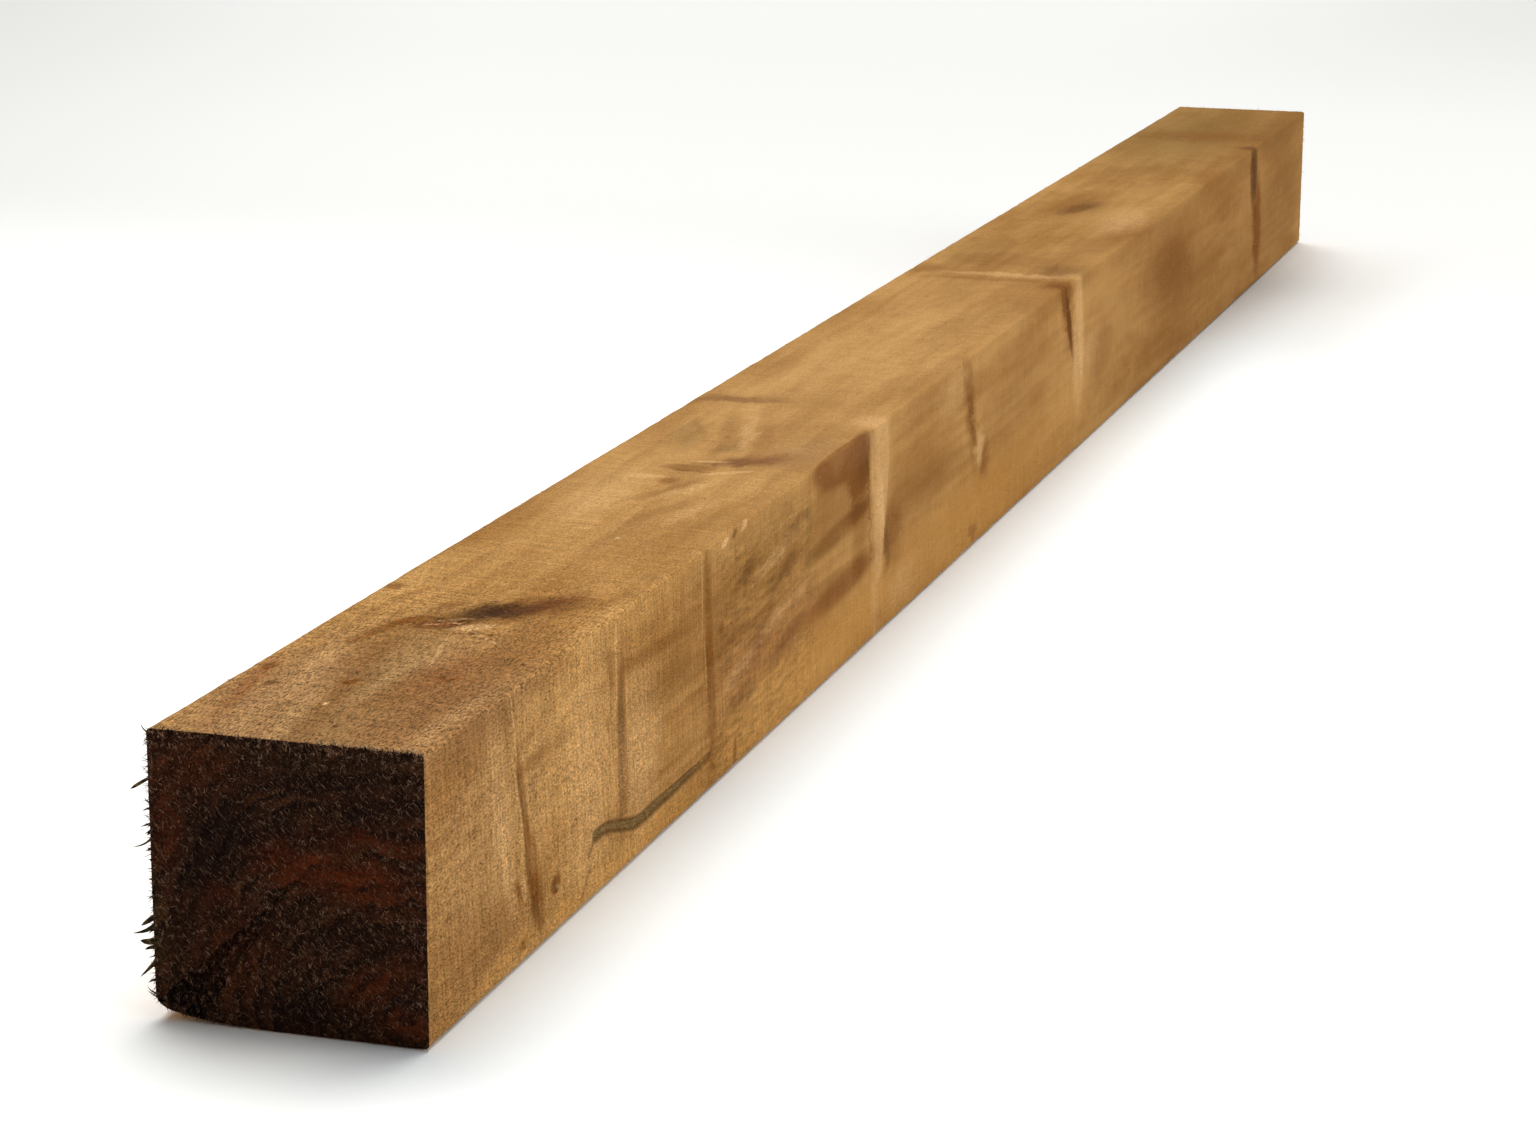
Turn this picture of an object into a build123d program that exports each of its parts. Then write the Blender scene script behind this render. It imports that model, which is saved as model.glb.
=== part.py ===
from build123d import *

import math
import os
from dataclasses import dataclass

# A rough-sawn square timber post that lies on one long face.
# The origin is on the floor, under the middle of the post. +Y runs along the length, +Z is up,
# and +X is the heart face, sawn close to the middle of the tree, so that branches lie open in it.

# Driving dimensions, in millimetres
post_length = 1800.0
post_width = 100.0
post_height = 102.0
arris_radius = 1.8

# The heart face is relieved between the branches, which stand proud of it up to the full width
branch_relief = 0.9
branch_flank = 1.3

# The knots in the upper face have a shrinkage groove round a low crown
knot_groove_depth = 0.9
knot_groove_width = 1.6
knot_crown_below = 0.2

# The bark pocket beside the first upper knot is a shallow boat-shaped hollow
pocket_station = 184.0
pocket_offset = 9.0
pocket_length = 46.0
pocket_width = 11.0
pocket_depth = 1.1
pocket_turn = 22.0

# The soft pith comes to the surface low on the heart face and leaves a shallow winding groove
pith_start_station = 163.0
pith_bend_station = 215.0
pith_end_station = 310.0
pith_start_height = 23.0
pith_end_height = 14.0
pith_width = 4.4
pith_depth = 1.0

# The pin knot beside the pith is a small round crown
pin_station = 121.0
pin_height = 18.0
pin_diameter = 6.5

# The lower arris of the far side is waney at the near end, and sound once the wane has run out
wane_rise = 7.0
wane_reach = 45.0
wane_shoulder = 2.0
wane_run = 380.0
wane_margin = 4.0

# The saw has lifted chips from the upper arris of the heart face
chip_stations = (317.0, 348.0)
chip_length = 17.0
chip_depth = 1.4


@dataclass(frozen=True)
class Branch:
    """A branch that the saw laid open lengthwise, wide at the upper arris and narrow at its foot.

    Stations are counted from the near end of the post, or from the far end if from_far is set.
    """

    top_station: float
    top_width: float
    foot_station: float
    foot_width: float
    foot_height: float
    bow: float
    from_far: bool = False


@dataclass(frozen=True)
class UpperKnot:
    """A branch cut across by the upper face, seen there as an oval turned from the length."""

    station: float
    offset: float
    length: float
    width: float
    turn: float
    from_far: bool = False


branches = (
    Branch(76.0, 7.0, 88.0, 2.6, 24.0, 2.0),
    Branch(187.0, 5.0, 197.0, 3.4, 24.0, 1.5),
    Branch(299.0, 5.0, 300.0, 3.0, 20.0, 0.5),
    Branch(558.0, 31.0, 557.0, 3.0, 33.0, 2.5),
    Branch(722.0, 15.0, 750.0, 9.0, 42.0, 4.0),
    Branch(826.0, 26.0, 806.0, 6.0, 36.0, 4.0, from_far=True),
    Branch(226.0, 18.0, 212.0, 8.0, 52.0, 2.0, from_far=True),
)

upper_knots = (
    UpperKnot(155.5, -9.0, 19.0, 12.0, 62.0),
    UpperKnot(436.0, -2.0, 22.0, 12.0, 35.0),
    UpperKnot(585.0, -22.0, 26.0, 11.0, 80.0),
    UpperKnot(560.0, -8.0, 34.0, 12.0, 8.0, from_far=True),
)

# Places that follow from the sizes
near_end = -post_length / 2
far_end = post_length / 2
far_side = -post_width / 2
heart_crown = post_width / 2
heart_face = heart_crown - branch_relief


def along(station, from_far=False):
    """Gives the place along the post of a station counted from one of its ends."""
    return far_end - station if from_far else near_end + station


def radius_over(span, depth):
    """Gives the radius of the arc that is depth deep over a chord of the given span."""
    half_span = span / 2
    return (half_span**2 + depth**2) / (2 * depth)


def section_outline(side):
    """Draws the post's cross-section at the near end, with its +X side at the given place."""
    with BuildSketch(Plane.XZ.offset(-near_end)) as section:
        with Locations(((far_side + side) / 2, post_height / 2)):
            RectangleRounded(side - far_side, post_height, arris_radius)
    return section.sketch


def branch_outline(branch, level, inset):
    """Draws one branch's outline on the heart side at the given level, drawn in by inset."""
    top_middle = along(branch.top_station, branch.from_far)
    foot_middle = along(branch.foot_station, branch.from_far)
    top_half = branch.top_width / 2 + branch_flank - inset
    foot_half = branch.foot_width / 2 + branch_flank - inset
    foot_height = branch.foot_height + inset
    top_near = (top_middle - top_half, post_height)
    top_far = (top_middle + top_half, post_height)
    foot_near = (foot_middle - foot_half, foot_height)
    foot_far = (foot_middle + foot_half, foot_height)
    foot_tip = (foot_middle, foot_height - foot_half)
    with BuildSketch(Plane.YZ.offset(level)) as outline:
        with BuildLine():
            SagittaArc(top_near, foot_near, branch.bow)
            ThreePointArc(foot_near, foot_tip, foot_far)
            SagittaArc(foot_far, top_far, -branch.bow)
            Line(top_far, top_near)
        make_face()
    return outline.sketch


def knot_outline(knot, drop, inset):
    """Draws one upper knot's oval at a drop below the upper face, drawn in by inset."""
    place = Plane(
        origin=(knot.offset, along(knot.station, knot.from_far), post_height - drop),
        x_dir=(math.sin(math.radians(knot.turn)), math.cos(math.radians(knot.turn)), 0),
        z_dir=(0, 0, 1),
    )
    with BuildSketch(place) as outline:
        Ellipse(knot.length / 2 - inset, knot.width / 2 - inset)
    return outline.sketch


def wane_outline(place, drop):
    """Draws the section that the wane takes away at a place along the post, lowered by drop."""
    up_side = (far_side, wane_rise - drop)
    shoulder = (far_side + wane_shoulder, -drop)
    under = (far_side + wane_reach, -drop)
    below = (under[0], under[1] - wane_margin)
    beside = (up_side[0] - wane_margin, up_side[1])
    corner = (beside[0], below[1])
    with BuildSketch(Plane.XZ.offset(-place)) as outline:
        with BuildLine():
            Bezier(up_side, shoulder, under)
            Polyline(under, below, corner, beside, up_side)
        make_face()
    return outline.sketch


with BuildPart() as timber_post:
    # The sawn timber, up to the level of the relieved heart face
    extrude(section_outline(heart_face), amount=-post_length)

    # Each branch rises from the heart face to the full width, with sloped flanks
    for branch in branches:
        base = branch_outline(branch, heart_face, 0.0)
        crown = branch_outline(branch, heart_crown, branch_flank)
        loft([base.face(), crown.face()])

    # The pin knot
    with BuildSketch(Plane.YZ.offset(heart_face)):
        with Locations((along(pin_station), pin_height)):
            Circle(pin_diameter / 2)
    with BuildSketch(Plane.YZ.offset(heart_crown)):
        with Locations((along(pin_station), pin_height)):
            Circle(pin_diameter / 2 - branch_flank)
    loft()

    # The eased arrises of the full section run over the branches too
    extrude(section_outline(heart_crown), amount=-post_length, mode=Mode.INTERSECT)

    # The pith's groove runs straight and then through two opposite bends, and is round at its ends
    pith_start = (along(pith_start_station), pith_start_height)
    pith_middle = (
        along((pith_start_station + pith_bend_station) / 2),
        (pith_start_height + pith_end_height) / 2,
    )
    pith_bend = (along(pith_bend_station), pith_end_height)
    pith_end = (along(pith_end_station), pith_end_height)
    with BuildSketch(Plane.YZ.offset(heart_face - pith_depth)):
        with BuildLine():
            Line(pith_end, pith_bend)
            first_bend = TangentArc(pith_bend, pith_middle, tangent=(-1, 0))
            TangentArc(pith_middle, pith_start, tangent=first_bend % 1)
        trace(line_width=pith_width)
        with Locations(pith_start, pith_end):
            Circle(pith_width / 2)
    extrude(amount=pith_depth + branch_relief, mode=Mode.SUBTRACT)

    # Each upper knot is a sloped dish with a lower crown standing in it
    for knot in upper_knots:
        rim = knot_outline(knot, 0.0, 0.0)
        floor = knot_outline(knot, knot_groove_depth, knot_groove_width / 2)
        crown = knot_outline(knot, knot_crown_below, knot_groove_width)
        loft([floor.face(), rim.face()], mode=Mode.SUBTRACT)
        loft([floor.face(), crown.face()])

    # The bark pocket is the part of a spindle that reaches below the upper face
    spindle_radius = radius_over(pocket_width, pocket_depth)
    spindle_curve = radius_over(pocket_length, pocket_depth)
    spindle_half = math.sqrt(2 * spindle_curve * spindle_radius - spindle_radius**2)
    pocket_place = Plane(
        origin=(pocket_offset, along(pocket_station), post_height - pocket_depth + spindle_radius),
        x_dir=(math.sin(math.radians(pocket_turn)), math.cos(math.radians(pocket_turn)), 0),
        z_dir=(0, 0, 1),
    )
    with BuildSketch(pocket_place):
        with BuildLine():
            ThreePointArc((-spindle_half, 0), (0, spindle_radius), (spindle_half, 0))
            Line((spindle_half, 0), (-spindle_half, 0))
        make_face()
    pocket_axis = Axis(pocket_place.origin, pocket_place.x_dir)
    revolve(axis=pocket_axis, mode=Mode.SUBTRACT)

    # A chip is what a roller lying square across the arris takes out of it
    chip_radius = radius_over(chip_length, chip_depth)
    chip_lift = (chip_radius - chip_depth) / math.sqrt(2)
    for station in chip_stations:
        roller = Plane(
            origin=(heart_face + chip_lift, along(station), post_height + chip_lift),
            x_dir=(0, 1, 0),
            z_dir=(1, 0, -1),
        )
        with BuildSketch(roller):
            Circle(chip_radius)
        extrude(amount=chip_length, both=True, mode=Mode.SUBTRACT)

    # The wane's section sinks out of the timber as it runs along it
    wane_start = wane_outline(near_end, 0.0)
    wane_finish = wane_outline(near_end + wane_run, wane_rise + wane_margin)
    loft([wane_finish.face(), wane_start.face()], mode=Mode.SUBTRACT)

timber_post.part.label = "timber_post"

os.makedirs("parts", exist_ok=True)
export_step(timber_post.part, "parts/timber_post.step")
print("timber_post volume", round(timber_post.part.volume), "valid", timber_post.part.is_valid)
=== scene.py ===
"""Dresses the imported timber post: its sawn faces, its cut ends and the fibres the saw left.

The scene keeps the row's frame: +Y runs along the post, +Z is up, and +X is the heart face,
which was sawn close to the middle of the tree. Sizes are in millimetres unless a name says
otherwise, and become metres where a mesh or a lamp takes them.
"""

import logging
import math
from collections.abc import Callable
from dataclasses import dataclass, field
from enum import Enum

import bpy
import numpy as np
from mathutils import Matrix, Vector


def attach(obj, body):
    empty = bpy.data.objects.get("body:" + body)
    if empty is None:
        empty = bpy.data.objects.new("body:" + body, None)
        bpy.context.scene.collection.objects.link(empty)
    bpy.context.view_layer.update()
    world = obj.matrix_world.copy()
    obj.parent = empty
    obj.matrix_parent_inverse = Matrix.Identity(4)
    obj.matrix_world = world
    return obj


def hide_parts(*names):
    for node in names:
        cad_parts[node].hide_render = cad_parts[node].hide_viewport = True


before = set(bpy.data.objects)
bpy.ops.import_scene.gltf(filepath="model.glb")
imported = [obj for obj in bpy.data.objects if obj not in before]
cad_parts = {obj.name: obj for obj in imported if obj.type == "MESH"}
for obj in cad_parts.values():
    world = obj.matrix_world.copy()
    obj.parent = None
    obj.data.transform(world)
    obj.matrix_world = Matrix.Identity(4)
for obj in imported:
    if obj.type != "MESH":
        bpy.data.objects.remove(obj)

LOG = logging.getLogger("timber_post")
MM = 0.001
NODE = "timber_post"
BODY = "root"

Node = bpy.types.Node
Socket = bpy.types.NodeSocket
Tree = bpy.types.NodeTree
Material = bpy.types.Material
Object = bpy.types.Object
Triple = tuple[float, float, float]

# What a socket takes: a socket or a node that it is linked from, or its value
Feed = float | int | bool | Triple | Socket | Node | Material

# Says from the middles and the normals of faces which of them are chosen
Zone = Callable[[np.ndarray, np.ndarray], np.ndarray]


def linear(red: int, green: int, blue: int) -> tuple[float, float, float, float]:
    """Turns an eight-bit display colour into the linear one that a shader takes.

    Args:
        red: The red level, 0 to 255.
        green: The green level, 0 to 255.
        blue: The blue level, 0 to 255.

    Returns:
        The linear colour, with an alpha of one.
    """
    levels = [level / 255 for level in (red, green, blue)]
    low_limit, slope, offset, gamma = 0.04045, 12.92, 0.055, 2.4
    flat = [
        level / slope if level <= low_limit else ((level + offset) / (1 + offset)) ** gamma
        for level in levels
    ]
    return flat[0], flat[1], flat[2], 1.0


def ease(value: np.ndarray, start: float, end: float) -> np.ndarray:
    """Rises smoothly from 0 at start to 1 at end.

    Args:
        value: The numbers to ease.
        start: Where the result is 0.
        end: Where the result is 1.

    Returns:
        The eased numbers.
    """
    share = np.clip((value - start) / (end - start), 0.0, 1.0)
    return share * share * (3 - 2 * share)


class Side(Enum):
    """A side of the post that a mark lies on, by its outward axis."""

    HEART = "+X"
    UPPER = "+Z"
    CUT = "-Y"


class Tint(Enum):
    """A colour that a mark brings into the timber, in the order in which they are laid on. Some pale, brown,
    dark and black marks are painted highlight and painted shade.
    """

    GOLD = "gold"
    DRAB = "drab"
    OLIVE = "olive"
    BROWN = "brown"
    DARK = "dark"
    BLACK = "black"
    RED = "red"
    PALE = "pale"


@dataclass(frozen=True)
class Branch:
    """A branch that the saw laid open in the heart face, from the upper arris to its foot."""

    top: float
    top_width: float
    foot: float
    foot_width: float
    foot_height: float
    bow: float


@dataclass(frozen=True)
class UpperKnot:
    """A branch cut across by the upper face, turned from the length towards +X."""

    along: float
    across: float
    length: float
    width: float
    turn: float


@dataclass(frozen=True)
class Mark:
    """A soft-edged patch of another colour that reaches a little way into the timber. Beside the branches'
    ridges and round the first knot, some marks are painted highlight and painted shade.

    On the heart face a place across is a height, and on the upper face it is an X. On a cut
    end the place along is an X and the place across a height. The turn is counted from the
    long axis towards growing places across.
    """

    tint: Tint
    side: Side
    along: float
    across: float
    half_length: float
    half_width: float
    turn: float = 0.0
    strength: float = 0.6
    softness: float = 0.4
    depth: float = 14.0

    def place(self) -> Triple:
        """Gives the middle of the mark on its side of the post.

        Returns:
            The place, in millimetres.
        """
        if self.side is Side.HEART:
            return TimberForm.heart_crown, self.along, self.across
        if self.side is Side.UPPER:
            return self.across, self.along, TimberForm.height
        return self.along, -TimberForm.half_length, self.across

    def axes(self) -> tuple[Triple, Triple, Triple]:
        """Works out the mark's own axes.

        Returns:
            The long, cross and inward axes, each divided by its half size.
        """
        turn = math.radians(self.turn)
        far, beside = math.cos(turn), math.sin(turn)
        if self.side is Side.HEART:
            ways = (0, far, beside), (0, -beside, far), (1, 0, 0)
        elif self.side is Side.UPPER:
            ways = (beside, far, 0), (far, -beside, 0), (0, 0, 1)
        else:
            ways = (far, 0, beside), (-beside, 0, far), (0, 1, 0)
        sizes = self.half_length, self.half_width, self.depth
        long_way, cross_way, inward = (
            (way[0] / size, way[1] / size, way[2] / size) for way, size in zip(ways, sizes)
        )
        return long_way, cross_way, inward


@dataclass(frozen=True)
class Splinter:
    """A splinter that the crosscut pushed out of the far arris of the near end.

    It leaves the arris at a height, reaches outwards by reach, and sinks by drop.
    """

    height: float
    reach: float
    drop: float
    girth: float
    curve: float = 0.0
    lean: float = -0.6
    tip: float = 0.35


@dataclass(frozen=True)
class Window:
    """A stretch of a line in which the mesh is finer."""

    start: float
    end: float
    spacing: float


@dataclass(frozen=True)
class TimberForm:
    """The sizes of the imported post, as the CAD source names them.

    Only the two chips are shorter and shallower here than in the solid.
    """

    half_length: float = 900.0
    half_width: float = 50.0
    height: float = 102.0
    arris_radius: float = 1.8
    relief: float = 0.9
    flank: float = 1.3
    heart_crown: float = 50.0
    heart_face: float = 49.1
    groove_depth: float = 0.9
    groove_width: float = 1.6
    crown_below: float = 0.2
    pin_along: float = -779.0
    pin_height: float = 18.0
    pin_radius: float = 3.25
    pocket_along: float = -716.0
    pocket_across: float = 9.0
    pocket_length: float = 46.0
    pocket_width: float = 11.0
    pocket_depth: float = 1.1
    pocket_turn: float = 22.0
    pith_start: float = -737.0
    pith_bend: float = -685.0
    pith_end: float = -590.0
    pith_high: float = 23.0
    pith_low: float = 14.0
    pith_width: float = 4.4
    pith_depth: float = 1.0
    chips_along: tuple[float, ...] = (-583.0, -552.0)
    chip_length: float = 10.0
    chip_depth: float = 0.9
    wane_rise: float = 7.0
    wane_reach: float = 45.0
    wane_shoulder: float = 2.0
    wane_run: float = 380.0
    wane_margin: float = 4.0


BRANCHES = (
    Branch(-824, 7, -812, 2.6, 24, 2),
    Branch(-713, 5, -703, 3.4, 24, 1.5),
    Branch(-601, 5, -600, 3, 20, 0.5),
    Branch(-342, 31, -343, 3, 33, 2.5),
    Branch(-178, 15, -150, 9, 42, 4),
    Branch(74, 26, 94, 6, 36, 4),
    Branch(674, 18, 688, 8, 52, 2),
)

UPPER_KNOTS = (
    UpperKnot(-744.5, -9, 19, 12, 62),
    UpperKnot(-464, -2, 22, 12, 35),
    UpperKnot(-315, -22, 26, 11, 80),
    UpperKnot(340, -8, 34, 12, 8),
)

# Each mark's tint, then its sizes in the order in which a Mark has them
GOLD, DRAB, OLIVE, BROWN, DARK, BLACK, RED, PALE = Tint

HEART_MARKS = (
    # The heart face, from the near end on. Beside each branch's ridge, the pale line on the flank towards
    # the near end is a painted highlight, and the brown or dark wedge on the flank towards the far end is
    # painted shade over the branch wood's own colour.
    (DRAB, -850, 55, 60, 60, 0, 0.3, 0.9),
    (BROWN, -868, 92, 36, 9, 3, 0.26, 0.8),
    (PALE, -833, 62, 30, 9, -80, 0.26, 0.8),
    (BROWN, -855, 22, 50, 13, 3, 0.26, 0.8),
    (GOLD, -835, 7, 24, 4, 5, 0.5, 0.6),
    (OLIVE, -827.5, 90, 16, 0.9, -80, 0.5, 0.5),
    (PALE, -821.8, 89, 11, 0.8, -79, 0.44),
    (PALE, -816.6, 58, 24, 0.7, -74, 0.32),
    (PALE, -826.5, 40, 22, 4.5, -74, 0.22, 0.5),
    (BROWN, -812.2, 62, 19, 3.4, -72, 0.52, 0.5),
    (BROWN, -803.5, 35, 17, 5.6, -70, 0.56, 0.5),
    (DARK, -814.6, 59, 16, 1.5, -73, 0.46, 0.5),
    (DARK, -808, 37, 14, 2.2, -72, 0.4, 0.5),
    (BROWN, -797.5, 17, 11, 6, -64, 0.6, 0.55),
    (DARK, -799, 14, 9, 2.6, -62, 0.36, 0.5),
    (BROWN, -818.6, 29, 3.8, 2.3, -40, 0.76, 0.5),
    (PALE, -812.5, 28, 5, 2.2, -70, 0.36, 0.5),
    (BROWN, -811, 6.5, 3.6, 1.8, 20, 0.6, 0.6),
    (BROWN, -790, 71, 32, 2.6, 1, 0.42, 0.8),
    (BROWN, -779, 18.4, 5.2, 4, 0, 0.82, 0.35),
    (DARK, -779, 18.4, 3.8, 2.9, 0, 0.32, 0.4),
    (PALE, -778.4, 18.4, 2.2, 1.5, 0, 0.34, 0.6),
    (BROWN, -747.5, 8.5, 10, 1.3, 45, 0.5, 0.5),
    (DARK, -741.6, 19.4, 3.6, 1.3, 48, 0.7, 0.5),
    (GOLD, -690, 4, 130, 6, 0, 0.45, 0.7),
    (BROWN, -718.8, 81, 11, 2.6, -76, 0.58, 0.5),
    (PALE, -713.4, 83, 21, 0.7, -85, 0.42),
    (BROWN, -706.5, 50, 34, 4.6, -88, 0.66, 0.5),
    (DARK, -709, 48, 32, 2.4, -88, 0.5, 0.5),
    (PALE, -742, 52, 24, 38, 0, 0.36, 0.9),
    (PALE, -686, 40, 20, 26, 0, 0.46, 0.9),
    (BROWN, -722.5, 61.4, 3.4, 1.3, -70, 0.7),
    (BROWN, -668, 77, 42, 3.2, -3.7, 0.5, 0.55),
    (BROWN, -660, 64, 48, 2.6, 1, 0.3, 0.8),
    (OLIVE, -655, 60, 52, 6, -2, 0.26, 0.8),
    (PALE, -609.4, 84, 20, 0.7, -89, 0.32),
    (PALE, -604.5, 50, 16, 0.6, -82, 0.2),
    (BROWN, -603.5, 78, 25, 3.6, -87, 0.36, 0.5),
    (BROWN, -597, 36, 30, 5.2, -84, 0.42, 0.55),
    (BROWN, -585, 64, 3.6, 2.6, 0, 0.45),
    (BROWN, -565.7, 6, 6, 2.4, -90, 0.62, 0.5),
    (BROWN, -600, 12, 12, 3.2, -90, 0.42, 0.7),
    (BROWN, -570, 55, 95, 3.4, -1, 0.3, 0.8),
    (PALE, -580, 98.6, 4.4, 1.6, 14, 0.95, 0.45, 2.6),
    (DARK, -567, 99.4, 4, 1.8, 14, 0.62, 0.5, 2.6),
    (PALE, -553, 100.2, 4.6, 1.6, 14, 0.85, 0.45, 2.6),
    (BROWN, -600, 50, 46, 44, 0, 0.2, 0.9),
    (BROWN, -520, 62, 66, 34, 0, 0.26, 0.9),
    (DARK, -548, 80, 12, 3.5, 10, 0.5, 0.9),
    (DARK, -530, 46, 18, 5, 10, 0.5, 0.9),
    (OLIVE, -575, 55, 20, 4, 8, 0.5, 0.9),
    (DARK, -480, 84, 14, 3, 8, 0.4, 0.9),
    (DARK, -500, 66, 18, 4, 10, 0.5, 0.9),
    (DARK, -492, 36, 22, 4, 10, 0.5, 0.9),
    (DARK, -556, 28, 20, 4, 8, 0.44, 0.9),
    (PALE, -512, 76, 22, 3, 8, 0.34, 0.9),
    (PALE, -560, 40, 20, 3, 8, 0.3, 0.9),
    (PALE, -505, 50, 22, 3, 8, 0.3, 0.9),
    (PALE, -470, 52, 12, 3, 10, 0.24, 0.9),
    (RED, -525, 40, 72, 9, 0, 0.44, 0.8),
    (OLIVE, -535, 78, 66, 15, 0, 0.32, 0.8),
    (GOLD, -460, 14, 110, 18, 0, 0.5, 0.7),
    (OLIVE, -459, 72, 26, 5, -90, 0.26, 0.5),
    (BROWN, -410, 105, 45, 19, 0, 0.62, 0.16, 3),
    (BROWN, -438, 95, 15, 8, -4, 0.36, 0.3, 3),
    (BROWN, -381, 90, 24, 13, -4, 0.5, 0.35, 3),
    (RED, -409, 98, 44, 13, -3, 0.3, 0.4, 3),
    (DARK, -372, 94, 13, 15, 0, 0.42, 0.5, 3),
    (BROWN, -408, 80, 47, 12, 0, 0.44, 0.4),
    (BROWN, -406, 65, 47, 4.6, 2, 0.5, 0.5),
    (OLIVE, -432, 64, 21, 5, 0, 0.5, 0.5),
    (DARK, -380, 68, 21, 3.6, 3, 0.34, 0.55),
    (BROWN, -402, 39, 50, 6.8, 1.5, 0.66, 0.5),
    (RED, -402, 38, 46, 4.5, 1.5, 0.26, 0.5),
    (BROWN, -376, 72, 15, 32, 0, 0.46, 0.5),
    (DARK, -361, 70, 32, 1.6, -84, 0.4, 0.6),
    (PALE, -343, 84, 34, 15, -84, 0.5, 0.4),
    (PALE, -343, 50, 24, 7.5, -84, 0.46, 0.5),
    (PALE, -348, 18, 22, 6, -85, 0.34, 0.8),
    (DARK, -329, 42, 12, 6, -80, 0.5, 0.7),
    (BROWN, -319, 41, 17, 13, 0, 0.46, 0.8),
    (BROWN, -345, 9, 7, 4, 0, 0.4, 0.7),
    (BROWN, -275, 54, 66, 12, 0, 0.46, 0.8),
    (PALE, -300, 14, 26, 10, 0, 0.3, 0.9),
    (GOLD, -240, 14, 170, 21, 0, 0.5, 0.7),
    (BROWN, -171, 77, 31, 7, -70, 0.55, 0.7),
    (DARK, -166, 68, 16, 3, -68, 0.32, 0.7),
    (PALE, -149, 50, 10, 8, 0, 0.52, 0.6),
    (BROWN, -137, 42, 9, 8, -80, 0.55, 0.7),
    (BROWN, -159, 8, 8, 4, 0, 0.48, 0.7),
    (PALE, -203, 88, 22, 12, 0, 0.28, 0.8),
    (GOLD, -40, 20, 120, 24, 0, 0.4, 0.8),
    (BROWN, 53, 90, 26, 10, -47, 0.5, 0.8),
    (BROWN, 68, 70, 34, 5.5, -51, 0.55, 0.7),
    (DARK, 62, 80, 26, 3.4, -62, 0.62, 0.5),
    (PALE, 88, 66, 38, 13, -84, 0.6, 0.5),
    (PALE, 118, 52, 34, 12, 0, 0.28, 0.9),
    (BROWN, 150, 44, 26, 15, 0, 0.36, 0.8),
    (BROWN, -60, 60, 70, 34, 0, 0.22, 0.9),
    (BROWN, 300, 55, 150, 70, 0, 0.28, 0.8),
    (BROWN, 365, 63, 78, 24, -6, 0.44, 0.8),
    (BROWN, -150, 50, 420, 75, 0, 0.12, 0.6),
    (BROWN, 640, 50, 240, 75, 0, 0.42, 0.7),
    (OLIVE, 830, 60, 90, 60, 0, 0.4, 0.8),
    (DARK, 672, 84, 24, 11, -84, 0.8, 0.5),
    (BROWN, 694, 45, 34, 15, -80, 0.7, 0.6),
)

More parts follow.
